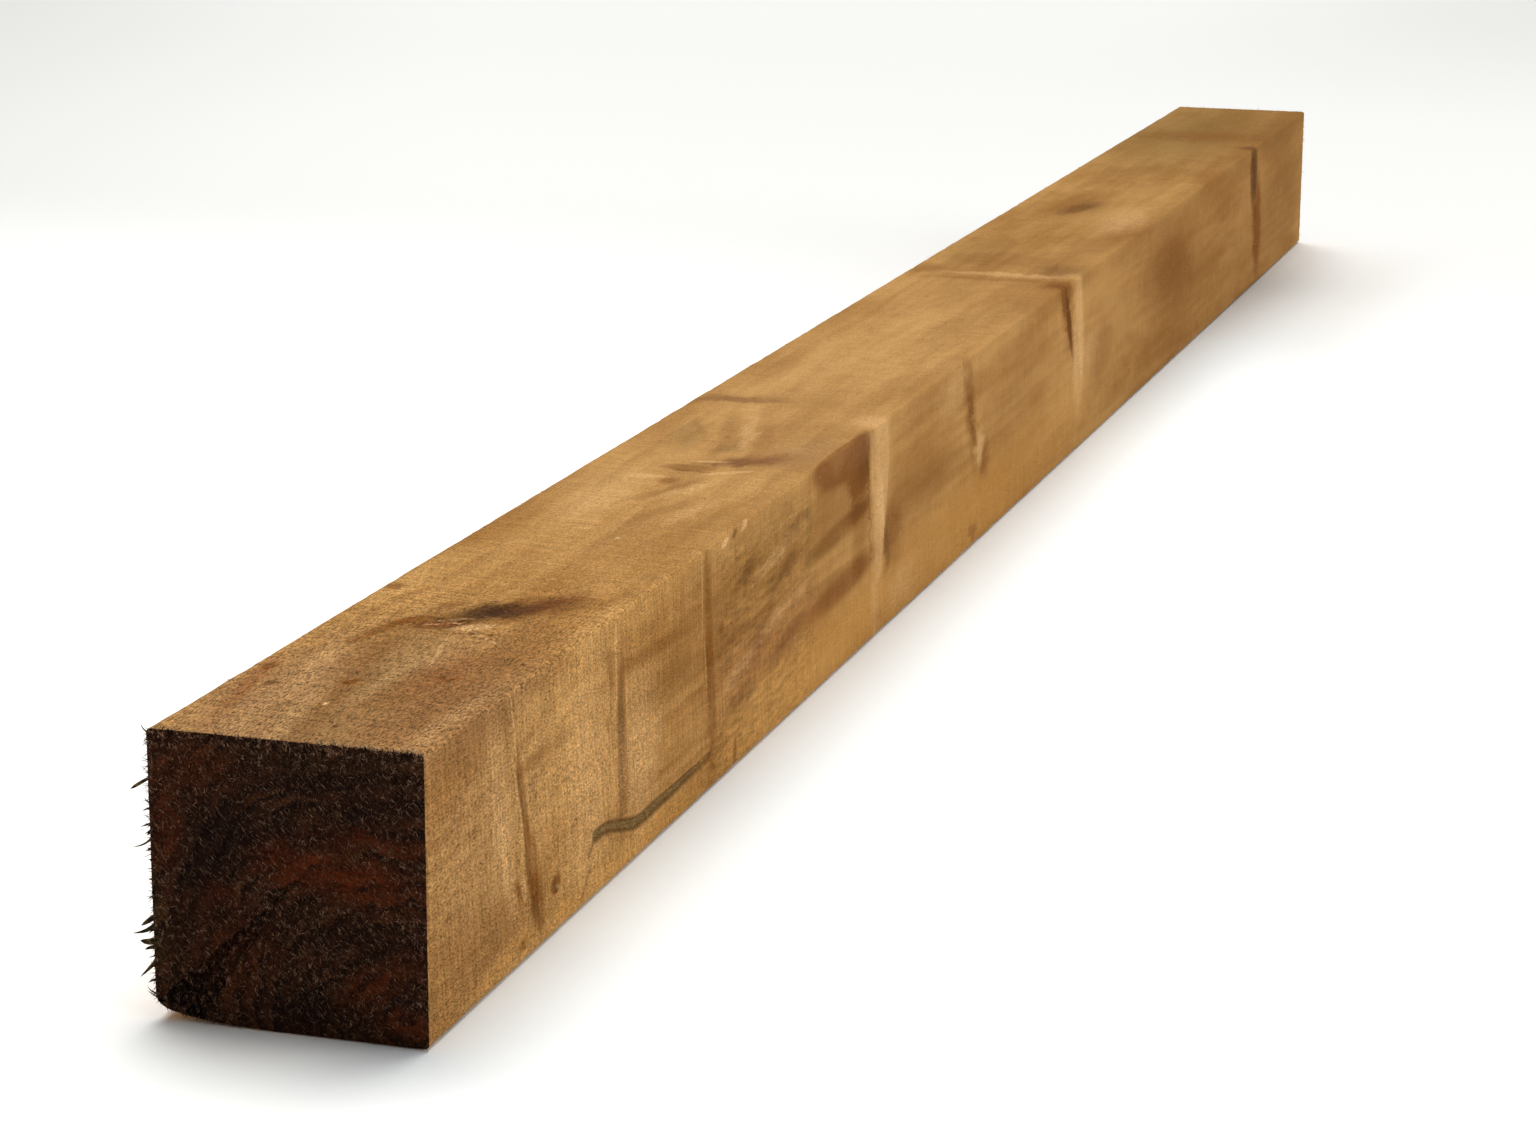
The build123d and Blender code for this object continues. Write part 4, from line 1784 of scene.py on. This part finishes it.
        slanted = writer.math("MULTIPLY_ADD", z, slant, y)
        phase = writer.math("DIVIDE", slanted, get["Chatter Pitch"])
        side = writer.product(x, slow)
        rise = writer.product(z, slow)
        chatter = centred(writer.noise(writer.combine(side, phase, rise), 1, 1), get["Chatter Depth"])
        grain = centred(writer.stretched(place, (3.4, 60, 3.4), 1), get["Grain Depth"])
        wander = centred(writer.noise(place, 0.02, 2), get["Wander"])
        total = writer.math("ADD", writer.math("ADD", chatter, grain), wander)
        bite = writer.stretched(place, (4, 13, 4), 2, 0.6).outputs[0]
        bite = writer.math("MAXIMUM", writer.math("SUBTRACT", bite, bite_from), 0.0)
        worn = writer.product(bite, arris, get["Arris Wear"])
        total = writer.math("SUBTRACT", total, writer.product(worn, wear_depth))
        torn = centred(writer.noise(place, 0.4, 2, 0.6), get["End Tear"])
        sink = writer.math("SUBTRACT", torn, writer.product(get["End Tear"], sink_share))
        pick = writer.add("GeometryNodeSwitch", input_type="VECTOR")
        writer.feed(pick.inputs["Switch"], end)
        writer.feed(pick.inputs["False"], writer.vector("SCALE", normal, total))
        writer.feed(pick.inputs["True"], writer.vector("SCALE", normal, sink))
        offset = writer.vector("SCALE", pick, MM)
        moved = writer.add("GeometryNodeSetPosition", {"Geometry": get["Geometry"], "Offset": offset})
        solid = writer.add("GeometryNodeRealizeInstances", {"Geometry": moved})
        feeds = {"Geometry": solid, "Material": get["Sawn Finish"]}
        faces = writer.add("GeometryNodeSetMaterial", feeds)
        feeds = {"Geometry": faces, "Selection": end, "Material": get["Cut Finish"]}
        ends = writer.add("GeometryNodeSetMaterial", feeds)
        writer.feed(leave.inputs["Geometry"], ends)
        return writer.tree


@dataclass(frozen=True)
class FibreCoat:
    """A coat of fibres that the saw left standing on part of the post."""

    name: str
    per_square_cm: float
    shortest: float
    longest: float
    girth: float
    drag: Triple
    lift: float
    scatter: float
    curl: float
    seed: int


class FibreCoats:
    """Grows coats of torn fibres on patches of the dressed timber's own surface."""

    points_along = 3
    sides = 3
    narrowing = 0.72
    bend_power = 1.6
    clump_scale = 0.16
    curl_scale = 0.55

    def __init__(self) -> None:
        """Builds the geometry tree once."""
        self.tree = self.fibre_tree()

    def fibre_tree(self) -> Tree:
        """Builds the geometry tree that scatters curled, tapered fibres over a patch.

        Returns:
            The tree.
        """
        takes = {
            "Geometry": "Geometry",
            "Density": 1000.0,
            "Shortest": 1.0,
            "Longest": 3.0,
            "Girth": 0.2,
            "Drag": (0.0, 0.0, -1.0),
            "Lift": 0.5,
            "Scatter": 0.5,
            "Curl": 1.0,
            "Seed": 1,
            "Finish": "Material",
        }
        writer, get, leave = open_tree("Fibre coat", "GeometryNodeTree", takes, {"Geometry": "Geometry"})
        spot = writer.vector("SCALE", writer.add("GeometryNodeInputPosition"), 1.0 / MM)
        clumps = writer.noise(spot, self.clump_scale, 2, 0.6)
        clumps = writer.ease(clumps, 0.36, 0.62, 0.15, 1)
        density = writer.product(get["Density"], clumps)
        feeds = {"Mesh": get["Geometry"], "Density": density, "Seed": get["Seed"]}
        scatter = writer.add("GeometryNodeDistributePointsOnFaces", feeds, distribute_method="RANDOM")
        jitter = self.random(writer, "FLOAT_VECTOR", (-1.0, -1.0, -1.0), (1.0, 1.0, 1.0), get["Seed"], 11)
        sway = writer.vector("SCALE", jitter, get["Scatter"])
        stand = writer.vector("SCALE", scatter.outputs["Normal"], get["Lift"])
        way = writer.vector("ADD", writer.vector("ADD", get["Drag"], stand), sway)
        feeds = {"Vector": writer.vector("NORMALIZE", way)}
        turned = writer.add("FunctionNodeAlignRotationToVector", feeds, axis="Z")
        length = self.random(writer, "FLOAT", get["Shortest"], get["Longest"], get["Seed"], 23)
        length = writer.product(length, MM)
        line = writer.add("GeometryNodeCurvePrimitiveLine", {"End": (0.0, 0.0, 1.0)})
        feeds = {"Curve": line, "Count": self.points_along}
        strand = writer.add("GeometryNodeResampleCurve", feeds)
        feeds = {
            "Points": scatter.outputs["Points"],
            "Instance": strand,
            "Rotation": turned,
            "Scale": writer.combine(length, length, length),
        }
        placed = writer.add("GeometryNodeInstanceOnPoints", feeds)
        curves = writer.add("GeometryNodeRealizeInstances", {"Geometry": placed})
        along = writer.add("GeometryNodeSplineParameter").outputs["Factor"]
        shift = writer.noise(spot, self.curl_scale, 1).outputs[1]
        shift = writer.vector("SUBTRACT", shift, (0.5, 0.5, 0.5))
        bend = writer.product(writer.math("POWER", along, self.bend_power), get["Curl"])
        offset = writer.vector("SCALE", writer.vector("SCALE", shift, bend), MM)
        bent = writer.add("GeometryNodeSetPosition", {"Geometry": curves, "Offset": offset})
        taper = writer.math("MULTIPLY_ADD", along, -self.narrowing, 1.0)
        girth = writer.product(taper, get["Girth"], MM)
        profile = writer.add("GeometryNodeCurvePrimitiveCircle", {"Resolution": self.sides, "Radius": 0.5})
        feeds = {
            "Curve": bent,
            "Profile Curve": profile,
            "Scale": girth,
            "Fill Caps": True,
        }
        skin = writer.add("GeometryNodeCurveToMesh", feeds)
        solid = writer.add("GeometryNodeRealizeInstances", {"Geometry": skin})
        feeds = {"Geometry": solid, "Material": get["Finish"]}
        finished = writer.add("GeometryNodeSetMaterial", feeds)
        writer.feed(leave.inputs["Geometry"], finished)
        return writer.tree

    @staticmethod
    def random(
        writer: NodeWriter, kind: str, low: Feed, high: Feed, seed: Feed, salt: int
    ) -> Socket:
        """Gives each fibre a random value of its own.

        Args:
            writer: The writer of the tree.
            kind: The type of the value.
            low: The lowest value.
            high: The highest value.
            seed: The coat's seed.
            salt: A number that tells this value from the coat's others.

        Returns:
            The socket that gives the value.
        """
        node = writer.add("FunctionNodeRandomValue", data_type=kind)
        low_socket, high_socket, result = (0, 1, 0) if kind == "FLOAT_VECTOR" else (2, 3, 1)
        writer.feed(node.inputs[low_socket], low)
        writer.feed(node.inputs[high_socket], high)
        writer.feed(node.inputs["Seed"], writer.math("ADD", seed, salt))
        return node.outputs[result]

    @staticmethod
    def patch(post: Object, keep: Zone) -> Object:
        """Copies some faces of the dressed timber for fibres to grow on.

        Args:
            post: The dressed timber.
            keep: Says from the faces' middles and normals, in millimetres, which are copied.

        Returns:
            The patch.
        """
        mesh = post.data
        middles = np.empty(len(mesh.polygons) * 3)
        mesh.polygons.foreach_get("center", middles)
        normals = np.empty(len(mesh.polygons) * 3)
        mesh.polygons.foreach_get("normal", normals)
        chosen = np.flatnonzero(keep(middles.reshape(-1, 3) / MM, normals.reshape(-1, 3)))
        points = np.empty(len(mesh.vertices) * 3)
        mesh.vertices.foreach_get("co", points)
        faces = [list(mesh.polygons[number].vertices) for number in chosen]
        used = sorted({corner for face in faces for corner in face})
        renumber = {old: new for new, old in enumerate(used)}
        faces = [[renumber[corner] for corner in face] for face in faces]
        return raw_object("patch", points.reshape(-1, 3)[used] / MM, faces)

    def grow(self, coat: FibreCoat, post: Object, keep: Zone, finish: Material) -> Object:
        """Grows one coat.

        Args:
            coat: The coat's sizes.
            post: The dressed timber.
            keep: Says which of its faces the coat grows on.
            finish: The fibres' material.

        Returns:
            The coat as one piece.
        """
        per_square_metre = coat.per_square_cm * 10_000.0
        inputs = {
            "Density": per_square_metre,
            "Shortest": coat.shortest,
            "Longest": coat.longest,
            "Girth": coat.girth,
            "Drag": coat.drag,
            "Lift": coat.lift,
            "Scatter": coat.scatter,
            "Curl": coat.curl,
            "Seed": coat.seed,
            "Finish": finish,
        }
        return settle(self.patch(post, keep), self.tree, coat.name, inputs)


@dataclass
class ArrisSplinters:
    """The splinters that stand out from the far arris of the near end."""

    finish: Material
    points_along: int = 7
    root: float = 1.6
    slant: float = 0.12
    stoutness: float = 2.9
    stretch: float = 1.2
    hook: float = 0.5
    flatness: float = 0.55
    floor_gap: float = 0.4

    def build(self) -> Object:
        """Builds the splinters along their own bent lines.

        Returns:
            All the splinters as one piece.
        """
        points, girths, edges = [], [], []
        near = -TimberForm.half_length
        for number, splinter in enumerate(SPLINTERS):
            start = len(points)
            length = math.hypot(splinter.reach, splinter.drop)
            side = (-splinter.drop / length, splinter.reach / length)
            inward = self.inset(splinter.height)
            for step in range(self.points_along):
                share = step / (self.points_along - 1)
                swing = (splinter.curve + self.hook * (-1) ** number) * math.sin(math.pi * share)
                root_x = -TimberForm.half_width + inward + self.root * (1 - share)
                x = root_x - splinter.reach * self.stretch * share - swing * side[0]
                z = splinter.height - splinter.drop * self.stretch * share - swing * side[1]
                y = near + 0.5 + self.slant * (number % 5) + splinter.lean * share
                points.append((x, y, max(z, self.floor_gap)))
                narrowing = 1 + (splinter.tip - 1) * share
                pointed = math.sqrt(max(1 - share**4, 0.02))
                girths.append(splinter.girth * self.stoutness * narrowing * pointed)
                if step:
                    edges.append((start + step - 1, start + step))
        host = raw_object("splinter_lines", np.array(points), [], edges)
        attribute = host.data.attributes.new("girth", "FLOAT", "POINT")
        attribute.data.foreach_set("value", girths)
        inputs = {"Flatness": self.flatness, "Finish": self.finish}
        return settle(host, self.splinter_tree(), "arris_splinters", inputs)

    @staticmethod
    def inset(height: float) -> float:
        """Gives how far the wane has drawn the arris in at a height by the near end.

        Args:
            height: The height.

        Returns:
            The distance, which is nothing above the wane.
        """
        form = TimberForm
        if height >= form.wane_rise:
            return 0.0
        share = 1 - math.sqrt(height / form.wane_rise)
        return 2 * form.wane_shoulder * share * (1 - share) + form.wane_reach * share**2

    @staticmethod
    def splinter_tree() -> Tree:
        """Builds the geometry tree that gives each line its thickness.

        Returns:
            The tree.
        """
        takes = {
            "Geometry": "Geometry",
            "Flatness": 0.6,
            "Finish": "Material",
        }
        writer, get, leave = open_tree("Splinters", "GeometryNodeTree", takes, {"Geometry": "Geometry"})
        curve = writer.add("GeometryNodeMeshToCurve", {"Mesh": get["Geometry"]})
        girth = writer.attribute("girth", "FLOAT")
        circle = writer.add("GeometryNodeCurvePrimitiveCircle", {"Resolution": 7, "Radius": 0.5})
        squeeze = writer.combine(get["Flatness"], 1.0, 1.0)
        spot = writer.add("GeometryNodeInputPosition").outputs[0]
        feeds = {"Geometry": circle, "Position": writer.vector("MULTIPLY", spot, squeeze)}
        profile = writer.add("GeometryNodeSetPosition", feeds)
        feeds = {
            "Curve": curve,
            "Profile Curve": profile,
            "Scale": writer.product(girth, MM),
            "Fill Caps": True,
        }
        skin = writer.add("GeometryNodeCurveToMesh", feeds)
        solid = writer.add("GeometryNodeRealizeInstances", {"Geometry": skin})
        feeds = {"Geometry": solid, "Material": get["Finish"]}
        finished = writer.add("GeometryNodeSetMaterial", feeds)
        writer.feed(leave.inputs["Geometry"], finished)
        return writer.tree


@dataclass(frozen=True)
class Studio:
    """The pale floor, the soft light and the camera at the photograph's viewing angle."""

    floor_half: float = 9.0
    floor_level: float = -0.0004
    sky: float = 0.11
    key_strength: float = 2.33
    key_soft_degrees: float = 48.0
    key_tilt_degrees: Triple = (-22.9, -6.1, 0.0)
    fill_strength: float = 1.09
    fill_soft_degrees: float = 53.0
    fill_tilt_degrees: Triple = (0.0, 69.8, 0.0)
    floor_lift: float = 0.43
    # The strength of the painted shadow and reflection round the far half of the post
    far_shade: float = 0.46
    camera_place: Triple = (0.4886, -1.9588, 0.4499)
    camera_turn_degrees: Triple = (75.959, -0.276, 17.056)
    lens: float = 86.32
    sensor: float = 36.0

    def build(self) -> None:
        """Builds the floor, the sky, the lamps and the camera."""
        self.lay_floor()
        self.light()
        self.place_camera()
        bpy.context.scene.view_settings.view_transform = "Standard"

    def lay_floor(self) -> None:
        """Lays the floor, which shows the post's shadow, with more shade painted into its colour beside the
        post, round its far half and far behind it.
        """
        half, level = self.floor_half / MM, self.floor_level / MM
        corners = [(-half, -half, level), (half, -half, level), (half, half, level), (-half, half, level)]
        floor = raw_object("studio_floor", np.array(corners), [(0, 1, 2, 3)])
        material = bpy.data.materials.new("studio_floor")
        material.use_nodes = True
        material.node_tree.nodes.clear()
        writer = NodeWriter(material.node_tree)
        place = writer.add("ShaderNodeTexCoord").outputs["Object"]
        x, y, _ = writer.separate(place)
        pale, far_shadow_brown, beside_shadow_grey = linear(254, 254, 251), linear(72, 58, 12), linear(231, 237, 238)
        # Painted shadow and painted reflection: the floor is darker round the far half of the post, and
        # browner with the wood's colour
        along = writer.product(writer.ease(y, 0.26, 0.5), writer.ease(y, 0.95, 0.66))
        across = writer.product(writer.ease(x, 0.2, 0.04), writer.ease(x, -0.2, 0))
        colour = writer.blend(writer.product(along, across, self.far_shade), pale, far_shadow_brown)
        # Painted shade: a darker, cooler band beside the heart face
        along = writer.product(writer.ease(y, -0.98, -0.86), writer.ease(y, 0.75, 0.3))
        across = writer.product(writer.ease(x, 0.18, 0.06), writer.ease(x, 0, 0.04))
        colour = writer.blend(writer.product(along, across), colour, beside_shadow_grey)
        # Camera rays see the floor lifted, less the painted shade of its falloff
        level = writer.math("SUBTRACT", self.floor_lift, self.falling_off(writer, x, y))
        seen = writer.add("ShaderNodeLightPath").outputs["Is Camera Ray"]
        lifted = writer.vector("SCALE", colour, writer.math("MULTIPLY_ADD", seen, level, 1.0))
        diffuse = writer.add("ShaderNodeBsdfDiffuse", {"Color": lifted})
        writer.add("ShaderNodeOutputMaterial", {"Surface": diffuse})
        floor.data.materials.append(material)

    @staticmethod
    def falling_off(writer: NodeWriter, x: Feed, y: Feed) -> Socket:
        """Gives the painted shade that darkens the floor behind the post and far to its left and right.

        Args:
            writer: The writer of the floor's material.
            x: The place across, in metres.
            y: The place along, in metres.

        Returns:
            The socket that gives the loss of brightness.
        """
        behind = writer.ease(y, 0.05, 0.9, 0, 0.33)
        beyond = writer.ease(y, 0.9, 2.2, 0, 0.05)
        edge = writer.math("MULTIPLY_ADD", y, 0.38, writer.math("ADD", x, 0.32))
        left = writer.product(
            writer.ease(edge, 0.05, -0.9, 0, 0.19),
            writer.ease(y, -0.1, 0.5),
            writer.ease(x, -3.2, -2),
        )
        right = writer.product(writer.ease(y, 1.5, 3, 0, 0.13), writer.ease(x, -0.5, 0.1))
        sides = writer.math("ADD", left, right)
        return writer.math("ADD", writer.math("ADD", behind, beyond), sides)

    def light(self) -> None:
        """Lights the post with a soft sky, a lamp overhead and a weaker one on the heart side."""
        world = bpy.data.worlds.new("studio_sky")
        bpy.context.scene.world = world
        world.use_nodes = True
        world.node_tree.nodes.clear()
        writer = NodeWriter(world.node_tree)
        path = writer.add("ShaderNodeLightPath").outputs
        seen = writer.math("MAXIMUM", path["Is Camera Ray"], path["Is Glossy Ray"])
        seen = writer.math("MAXIMUM", seen, path["Is Transmission Ray"])
        lit = writer.add("ShaderNodeBackground", {"Color": (1.0, 1.0, 1.0, 1.0), "Strength": self.sky})
        shown = writer.add("ShaderNodeBackground", {"Color": linear(250, 250, 246), "Strength": 1.0})
        mixed = writer.add("ShaderNodeMixShader", {0: seen, 1: lit, 2: shown})
        writer.add("ShaderNodeOutputWorld", {"Surface": mixed})
        self.hang_lamp("studio_key", self.key_strength, self.key_soft_degrees, self.key_tilt_degrees)
        self.hang_lamp("studio_fill", self.fill_strength, self.fill_soft_degrees, self.fill_tilt_degrees)

    @staticmethod
    def hang_lamp(name: str, strength: float, softness: float, tilt: Triple) -> None:
        """Hangs one broad lamp.

        Args:
            name: The lamp's name.
            strength: How bright it is.
            softness: How wide it looks from the post, in degrees.
            tilt: How it is turned from straight overhead, in degrees.
        """
        lamp = bpy.data.lights.new(name, "SUN")
        lamp.energy = strength
        lamp.angle = math.radians(softness)
        hung = bpy.data.objects.new(name, lamp)
        hung.rotation_euler = tuple(math.radians(angle) for angle in tilt)
        bpy.context.scene.collection.objects.link(hung)

    def place_camera(self) -> None:
        """Places the camera."""
        data = bpy.data.cameras.new("photo_view")
        data.lens = self.lens
        data.sensor_width = self.sensor
        data.clip_start, data.clip_end = 0.05, 60.0
        camera = bpy.data.objects.new("photo_view", data)
        camera.location = self.camera_place
        camera.rotation_euler = tuple(math.radians(angle) for angle in self.camera_turn_degrees)
        bpy.context.scene.collection.objects.link(camera)
        bpy.context.scene.camera = camera


def hand_over(piece: Object) -> None:
    """Puts a finished piece on the post's body and reports it.

    Args:
        piece: The piece.
    """
    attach(piece, BODY)
    piece.data.calc_loop_triangles()
    LOG.info("%s: %d triangles", piece.name, len(piece.data.loop_triangles))


def coats() -> list[tuple[FibreCoat, Zone, bool]]:
    """Lists the coats of fibres.

    Returns:
        Each coat, what says which faces it grows on, and whether it is dark.
    """
    end = TimberForm.half_length
    facing, skin, rim = 0.5, 2, 1.6

    def by_end(middle: np.ndarray, normal: np.ndarray) -> np.ndarray:
        """Says which faces lie on the near end."""
        return (normal[:, 1] < -facing) & (middle[:, 1] < skin - end)

    near = FibreCoat("near_end_fibres", 150, 0.7, 2.6, 0.28, (0.35, 0.0, -0.42), 0.45, 0.8, 0.6, 3)
    far = FibreCoat("far_end_fibres", 90, 0.8, 2.6, 0.38, (-0.15, 0.0, -0.3), 0.45, 0.9, 1.2, 5)
    face = FibreCoat("face_fibres", 1.1, 1.5, 5.5, 0.22, (0.0, -1.0, 0.0), 0.22, 0.25, 1.2, 7)
    arris = FibreCoat("arris_fibres", 95, 0.8, 2.8, 0.36, (-0.9, -0.35, -0.3), 0.2, 0.8, 2.2, 9)
    crown = FibreCoat("crown_fibres", 260, 0.8, 2.6, 0.34, (0.15, -0.5, 0.9), 0.2, 0.6, 1.0, 13)
    fray = FibreCoat("frayed_fibres", 340, 0.9, 2.8, 0.42, (0.1, -0.9, 0.25), 0.15, 0.6, 1.2, 11)
    return [
        (near, lambda middle, normal: by_end(middle, normal) & (middle[:, 2] > 2.4), True),
        (far, lambda middle, normal: (normal[:, 1] > facing) & (middle[:, 1] > end - skin), True),
        (face, lambda middle, normal: (np.abs(normal[:, 1]) < facing) & (middle[:, 2] > 3), False),
        (arris, lambda middle, _: (middle[:, 1] < rim - end) & (middle[:, 0] < -48.7), True),
        (crown, lambda middle, normal: by_end(middle, normal) & (middle[:, 2] > 98), True),
        (
            fray,
            lambda middle, _: (middle[:, 1] < rim - end) & (middle[:, 2] > 101) & (middle[:, 0] > 10),
            False,
        ),
    ]


def main() -> None:
    """Builds the studio and the dressed post, piece by piece."""
    logging.basicConfig(level=logging.INFO, format="%(name)s %(message)s")
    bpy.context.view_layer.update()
    Studio().build()
    effects = WoodEffects()
    sawn = SawnFinish(effects, SawnColours()).material
    cut = CutFinish(effects, CutColours()).material
    stains = {Tint.RED: linear(118, 54, 26), Tint.BLACK: linear(26, 17, 19)}
    shades = linear(38, 22, 17), linear(208, 164, 132)
    dark = FibreFinish("dark_fibre", effects, *shades, 0.585, stains).material
    bark = FibreFinish("splinter_wood", effects, linear(36, 28, 18), linear(124, 100, 60), 0.6, {}).material
    pale = FibreFinish("pale_fibre", effects, linear(150, 108, 64), linear(236, 204, 160), 0.48, {}).material
    post = DressedPost(sawn, cut).build()
    grower = FibreCoats()
    pieces = [post]
    for coat, keep, is_dark in coats():
        pieces.append(grower.grow(coat, post, keep, dark if is_dark else pale))
    pieces.append(ArrisSplinters(bark).build())
    for piece in pieces:
        hand_over(piece)
    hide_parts(NODE)


if __name__ == "__main__":
    main()
